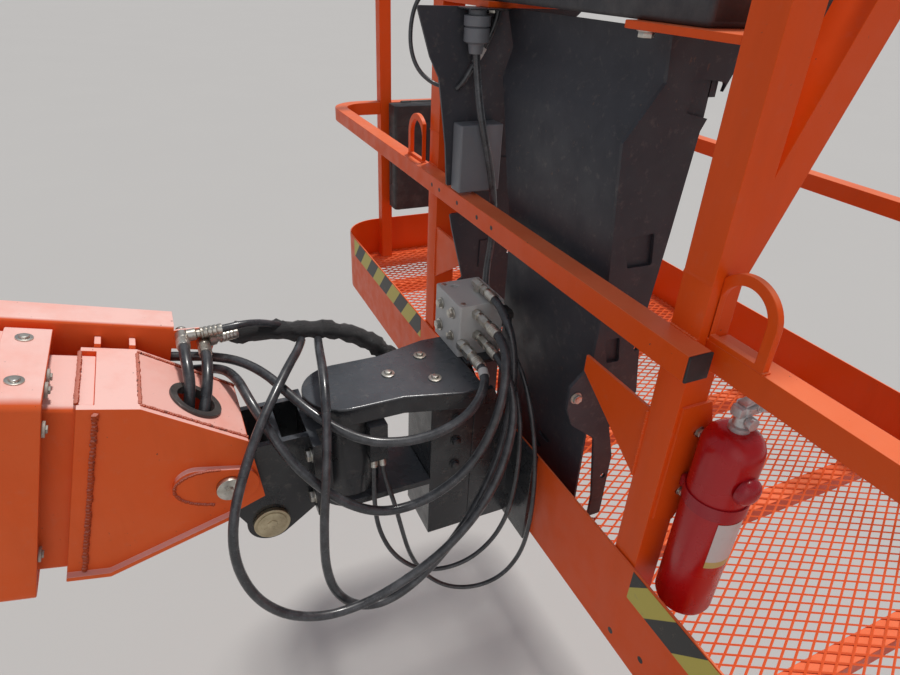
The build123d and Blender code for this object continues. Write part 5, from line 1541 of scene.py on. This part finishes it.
@dataclass
class DeckTrim:
    """Warning tape, welds, holes and bolts on the platform's steelwork."""

    tapes: tuple[tuple[float, float], ...] = ((-1060, -440), (455, 1060))
    tape_low: float = 66
    tape_high: float = 127
    post: float = 410
    post_faces: tuple[float, float] = (4.5, 55.5)
    rail_seams: tuple[float, float] = (512, 550)
    gusset: float = 384
    rail_face: float = -33
    rail_holes: tuple[float, ...] = (330, 290, 200, 110, 50)
    rail_hole: tuple[Disc, ...] = (Disc(-0.0005, 0.0002, 0.0045, 20, edge=0),)
    ring_feet: tuple[tuple[float, int], ...] = ((25, -1), (-9, 1))
    ring_legs: tuple[float, float] = (436, 523)
    drains: tuple[tuple[float, float], ...] = ((-425, -41), (-499, -20))
    drain: tuple[Disc, ...] = (Disc(-0.0005, 0.0002, 0.006, edge=0),)
    bottle_bolts: tuple[tuple[float, float], ...] = ((52, 395), (50, 285))

    def build(self) -> None:
        """Make the platform's trim."""
        work = Metalwork()
        for low, high in self.tapes:
            work.box(Frame.deck(-0.6, low, self.tape_low), Frame.deck(-0.05, high, self.tape_high))
        work.piece("edge_tape", Finish.TAPE, Body.PLATFORM)
        self._welds()
        work = Metalwork()
        for y in self.rail_holes:
            work.stack(Frame.deck(self.rail_face, y, 531), Axis.MINUS_X.vector, self.rail_hole)
        for y, z in self.drains:
            work.stack(Frame.deck(0, y, z), Axis.MINUS_X.vector, self.drain)
        work.piece("rail_holes", Finish.BLACK_PLASTIC, Body.PLATFORM)
        work = Metalwork()
        for side in (-1, 1):
            work.stack(Frame.deck(2, side * 226, 322), Axis.Y.vector * side, hexagon_bolt(10))
            work.stack(Frame.deck(126, side * 260, 885), Axis.MINUS_Z.vector, hexagon_bolt(10))
            work.stack(Frame.deck(25, side * 212, 885), Axis.MINUS_Z.vector, hexagon_bolt(12))
        for x, z in self.bottle_bolts:
            work.stack(Frame.deck(x, -440, z), Axis.MINUS_Y.vector, hexagon_bolt(8))
        work.piece("deck_bolts", Finish.ZINC, Body.PLATFORM)

    def _welds(self) -> None:
        """Make the weld beads of the posts, rails and rings."""
        work = Metalwork()
        across = range(-24, 25, 8)
        for side in (-1, 1):
            for x in self.post_faces:
                work.bead([Frame.deck(x, side * self.post + y, 1) for y in across])
            for z in self.rail_seams:
                work.bead([Frame.deck(self.post_faces[0], side * self.post + y, z) for y in across], 0.003)
            gusset = [Frame.deck(self.post_faces[0], side * self.gusset, z) for z in range(284, 408, 12)]
            work.bead(gusset, 0.003)
        for x, side in self.ring_feet:
            for y in self.ring_legs:
                work.bead([Frame.deck(x + step, side * y, 551) for step in (-5, 0, 5)], 0.003)
        work.piece("deck_welds", Finish.DECK_PAINT, Body.PLATFORM)


@dataclass
class Extinguisher:
    """The red fire extinguisher, with its band, label, valve and levers. Heights on it are in metres."""

    x: float = 66
    y: float = -485.8
    low: float = 96
    radius: float = 0.043
    height: float = 0.335
    shoulder: tuple[float, float] = (0.031, 0.034)
    label: tuple[float, float] = (0.112, 0.199)
    label_from: float = -125
    label_turn: float = 90
    label_gap: float = 0.0006
    band: tuple[float, float] = (0.204, 0.226)
    band_walls: tuple[float, float] = (0.0003, 0.0023)
    knob: Place = (-0.004, 0.002, 0.262)
    knob_radius: float = 0.021

    def build(self) -> None:
        """Make the bottle and its parts."""
        base = Frame.deck(self.x, self.y, self.low)
        self._bottle(base)
        self._label(base)
        self._band(base)
        self._valve(base + Vector((0, 0, self.height)))

    def _bottle(self, base: Vector) -> None:
        """Make the bottle.

        Args:
            base: the middle of its foot.
        """
        r, h = self.radius, self.height
        inward, rise = self.shoulder
        profile = [(0, 0.006), (r * 0.7, 0.006), (r * 0.8, 0.0), (r * 0.93, 0.001), (r, 0.009), (r, h - rise)]
        profile += [(r - inward * (1 - math.cos(a)), h - rise + rise * math.sin(a))
                    for a in sweep(15, 90, 15)]
        work = Metalwork()
        work.lathe([*profile, (0.012, h), (0.0, h)], base, Axis.Z.vector, 48)
        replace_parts(work.piece("extinguisher_bottle", Finish.RED, Body.PLATFORM, 40), "extinguisher_body")

    def _label(self, base: Vector) -> None:
        """Make the bare paper label, a thin sheet round part of the bottle.

        Args:
            base: the middle of the bottle's foot.
        """
        work = Metalwork()
        turn = Matrix.Rotation(math.radians(self.label_from), 3, "Z")
        side = turn @ Vector((self.radius + self.label_gap, 0, 0))
        ends = [work.bm.verts.new(base + side + Vector((0, 0, z))) for z in self.label]
        edge = work.bm.edges.new(ends)
        bmesh.ops.spin(work.bm, geom=[*ends, edge], cent=base, axis=(0, 0, 1),
                       steps=round(self.label_turn / 5), angle=math.radians(self.label_turn),
                       use_merge=False)
        work.piece("bottle_label", Finish.LABEL, Body.PLATFORM, 180)

    def _band(self, base: Vector) -> None:
        """Make the plastic band with its knob and its latch.

        Args:
            base: the middle of the bottle's foot.
        """
        work = Metalwork()
        (inner, outer), (low, high) = self.band_walls, self.band
        r, knob = self.radius, self.knob_radius
        ring = [(r + inner, low), (r + outer, low), (r + outer, high), (r + inner, high), (r + inner, low)]
        work.lathe(ring, base, Axis.Z.vector, 48)
        x, y, z = self.knob
        dome = [(knob * math.cos(a), 0.004 + 0.014 * math.sin(a)) for a in sweep(0, 75, 15)]
        seat = base + Vector((x, y - r, z))
        work.lathe([(0, 0), (knob, 0), *dome, (0, 0.018)], seat, Axis.MINUS_Y.vector, 28)
        work.box(base + Vector((-0.026, 0.034, 0.205)), base + Vector((-0.002, 0.0452, 0.225)), 0.002)
        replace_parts(work.piece("bottle_band", Finish.RED_PLASTIC, Body.PLATFORM), "extinguisher_band")

    @staticmethod
    def _valve(top: Vector) -> None:
        """Make the valve, its levers, its pin and its gauge.

        Args:
            top: the middle of the bottle's neck.
        """
        work = Metalwork()
        neck = [(0, -0.002), (0.0145, -0.002), (0.0145, 0.006), (0.011, 0.008), (0.011, 0.030),
                (0.013, 0.032), (0.013, 0.040), (0, 0.041)]
        work.lathe(neck, top, Axis.Z.vector, 28)
        work.box(top + Vector((-0.018, -0.009, 0.024)), top + Vector((0.020, 0.009, 0.040)), 0.003)
        for x, z, lean, low, high in ((0.018, 0.030, 10, (0, -0.009, -0.004), (0.062, 0.009, 0.002)),
                                      (-0.010, 0.040, -15, (0, -0.008, -0.002), (0.090, 0.008, 0.003))):
            place = Matrix.Translation(top + Vector((x, 0, z))) @ Matrix.Rotation(math.radians(lean), 4, "Y")
            work.box(Vector(low), Vector(high), 0.0018, place)
        work.rod(top + Vector((0, -0.010, 0.018)), top + Vector((0, -0.020, 0.018)), 0.009, 24, edge=0.001)
        ring = [top + Vector((0.016 + 0.009 * math.cos(a), -0.012, 0.040 + 0.009 * math.sin(a)))
                for a in (math.tau * step / 14 for step in range(15))]
        for a, b in zip(ring, ring[1:]):
            work.rod(a, b, 0.0011, 8)
        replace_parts(work.piece("extinguisher_levers", Finish.CAST, Body.PLATFORM), "extinguisher_valve")


@dataclass
class ConsoleTrim:
    """Details of the console support: coils, connector, box ribs, and dark sheets in its windows that are
    painted shade of its inside, with the dark parts behind them.
    """

    coils: tuple[float, float] = (40, 88)
    bracket: tuple[Place, Place] = ((-42, 166, 882), (40, 219.5, 885))
    connector: Place = (-13, 194, 882.2)
    connector_profile: tuple[tuple[float, float], ...] = (
        (0, 0), (0.016, 0), (0.016, -0.008), (0.024, -0.010), (0.024, -0.026), (0.020, -0.028),
        (0.023, -0.030), (0.023, -0.052), (0.015, -0.056), (0.012, -0.072), (0, -0.073))
    ribs: tuple[float, ...] = (140, 270, 400)
    windows: tuple[tuple[float, float, float, float], ...] = (
        (34, 112, 546, 612), (36, 84, 372, 434), (104, 150, 770, 830), (148, 162, 800, 830))
    window_side: float = 218
    slots: tuple[Place, Place] = ((50, -122, 54), (51.5, -28, 146))

    def build(self) -> None:
        """Make the console's trim."""
        work = Metalwork()
        for y in self.coils:
            low = Frame.deck(-12, y - 15, 328)
            work.box(low, low + Vector((0.030, 0.030, 0.034)), 0.003)
            work.rod(Frame.deck(18, y, 345), Frame.deck(24, y, 345), 0.010, 6, edge=0.0006)
        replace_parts(work.piece("solenoid_coils", Finish.BLACK_PLASTIC, Body.PLATFORM), "valve_coils")
        work = Metalwork()
        work.box(*(Frame.deck(*corner) for corner in self.bracket), 0.0008)
        work.piece("connector_bracket", Finish.BLACK_PAINT, Body.PLATFORM)
        work = Metalwork()
        work.lathe(self.connector_profile, Frame.deck(*self.connector), Axis.Z.vector, 36)
        work.piece("round_connector", Finish.MODULE, Body.PLATFORM)
        work = Metalwork()
        for x in self.ribs:
            work.box(Frame.deck(x, 1078.5, 300), Frame.deck(x + 6, 1081, 470), 0.001)
        work.box(Frame.deck(255, 1077, 470), Frame.deck(305, 1081, 500), 0.002)
        work.piece("box_ribs", Finish.BLACK_PLASTIC, Body.PLATFORM)
        self._shade_sheets()

    def _shade_sheets(self) -> None:
        """Make the dark sheets behind the side plates' windows and the panel's slots: painted shade of the
        support's inside, with the dark parts that lie behind them.
        """
        work = Metalwork()
        # Dark sheets close the windows and slots, as painted shade of the inside and the dark parts behind it.
        for middle in (-self.window_side, self.window_side):
            for low_x, high_x, low_z, high_z in self.windows:
                work.box(Frame.deck(low_x, middle - 0.8, low_z), Frame.deck(high_x, middle + 0.8, high_z))
        work.box(*(Frame.deck(*corner) for corner in self.slots))
        work.piece("window_shade_sheets", Finish.GREY_PAINT, Body.PLATFORM)


@dataclass
class Harness(Hoses):
    """Cables of the console: the control cable, the switch's lead and the panel's lead with its tag."""

    tag_at: float = 0.42
    tag_points: int = 7
    tag_walls: tuple[float, float] = (0.0050, 0.0068)

    def build(self) -> None:
        """Make the cables, which all stay on the platform."""
        for name, route in HARNESS_ROUTES.items():
            line = self._line(name, route)
            cable = dress(self._tube(name, line, route.diameter / 2), name, Finish.HOSE, Body.PLATFORM, 60)
            self._declare(cable, route, line, [self._lead_tag(line)] if name == "panel_lead" else [])

    def _lead_tag(self, line: list[Vector]) -> bpy.types.Object:
        """Make the bare white tag on the panel's lead.

        Args:
            line: the points that the lead follows.

        Returns:
            The tag.
        """
        first = round(len(line) * self.tag_at)
        along = line[first + self.tag_points] - line[first]
        return self._wrap("lead_tag", line[first], along, *self.tag_walls, 20)


@dataclass
class Studio:
    """Camera, pale floor and soft light."""

    lens: float = 25.21
    sensor: float = 36
    near: float = 0.02
    place: Place = (0.960, -0.920, 0.488)
    right: Place = (0.909, -0.414, 0.041)
    up: Place = (0.177, 0.475, 0.862)
    back: Place = (-0.377, -0.776, 0.505)
    ground: Place = (1.2, 0, -1.95)
    reach: float = 90
    sky: float = 0.34
    sky_colour: Colour = (0.86, 0.90, 1.0)
    sun_colour: Colour = (1.0, 0.97, 0.93)
    suns: tuple[tuple[str, Place, float, float], ...] = (
        ("key_light", (-0.24, -0.16, -1.0), 2.3, 7), ("fill_light", (0.35, 0.9, -0.45), 0.42, 60))

    def build(self) -> None:
        """Set the camera, the floor and the lights."""
        self._camera()
        self._floor()
        world = bpy.data.worlds.new("studio")
        world.use_nodes = True
        sky = world.node_tree.nodes["Background"].inputs
        sky["Color"].default_value = (*self.sky_colour, 1)
        sky["Strength"].default_value = self.sky
        bpy.context.scene.world = world
        bpy.context.scene.view_settings.view_transform = "Standard"
        for name, heading, strength, spread in self.suns:
            self._sun(name, heading, strength, spread)

    def _camera(self) -> None:
        """Set the camera where the photograph was taken from."""
        data = bpy.data.cameras.new("camera")
        data.lens = self.lens
        data.sensor_width = self.sensor
        data.clip_start = self.near
        camera = bpy.data.objects.new("camera", data)
        basis = Matrix((self.right, self.up, self.back)).transposed().to_4x4()
        basis.translation = self.place
        camera.matrix_world = basis
        bpy.context.scene.collection.objects.link(camera)
        bpy.context.scene.camera = camera

    def _floor(self) -> None:
        """Lay the pale floor, below the reach of the platform in every pose."""
        work = Metalwork()
        bmesh.ops.create_grid(work.bm, x_segments=1, y_segments=1, size=self.reach)
        bmesh.ops.translate(work.bm, vec=self.ground, verts=work.bm.verts)
        mesh = work.mesh("studio_floor")
        mesh.materials.append(StudioFloor().build())
        ground = bpy.data.objects.new("studio_floor", mesh)
        bpy.context.scene.collection.objects.link(ground)

    def _sun(self, name: str, heading: Place, strength: float, spread: float) -> None:
        """Add a soft distant light.

        Args:
            name: its name.
            heading: the direction that it shines in.
            strength: its strength.
            spread: how wide it looks, in degrees.
        """
        data = bpy.data.lights.new(name, "SUN")
        data.energy = strength
        data.angle = math.radians(spread)
        data.color = self.sun_colour
        light = bpy.data.objects.new(name, data)
        light.rotation_euler = Vector(heading).to_track_quat("-Z", "Y").to_euler()
        bpy.context.scene.collection.objects.link(light)


def main() -> None:
    """Build the machine's looks, its camera and its studio."""
    logging.basicConfig(level=logging.INFO, format="%(name)s: %(message)s")
    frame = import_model()
    Frame.measure()
    parts = (Studio(), Hoses(), ValveGear(), BoomTrim(), HeadTrim(), DeckFloor(), DeckTrim(), Extinguisher(),
             ConsoleTrim(), Harness())
    for part in parts:
        LOG.info("building %s", type(part).__name__)
        part.build()
    SolidPieces().build(frame["nodes"])


if __name__ == "__main__":
    main()
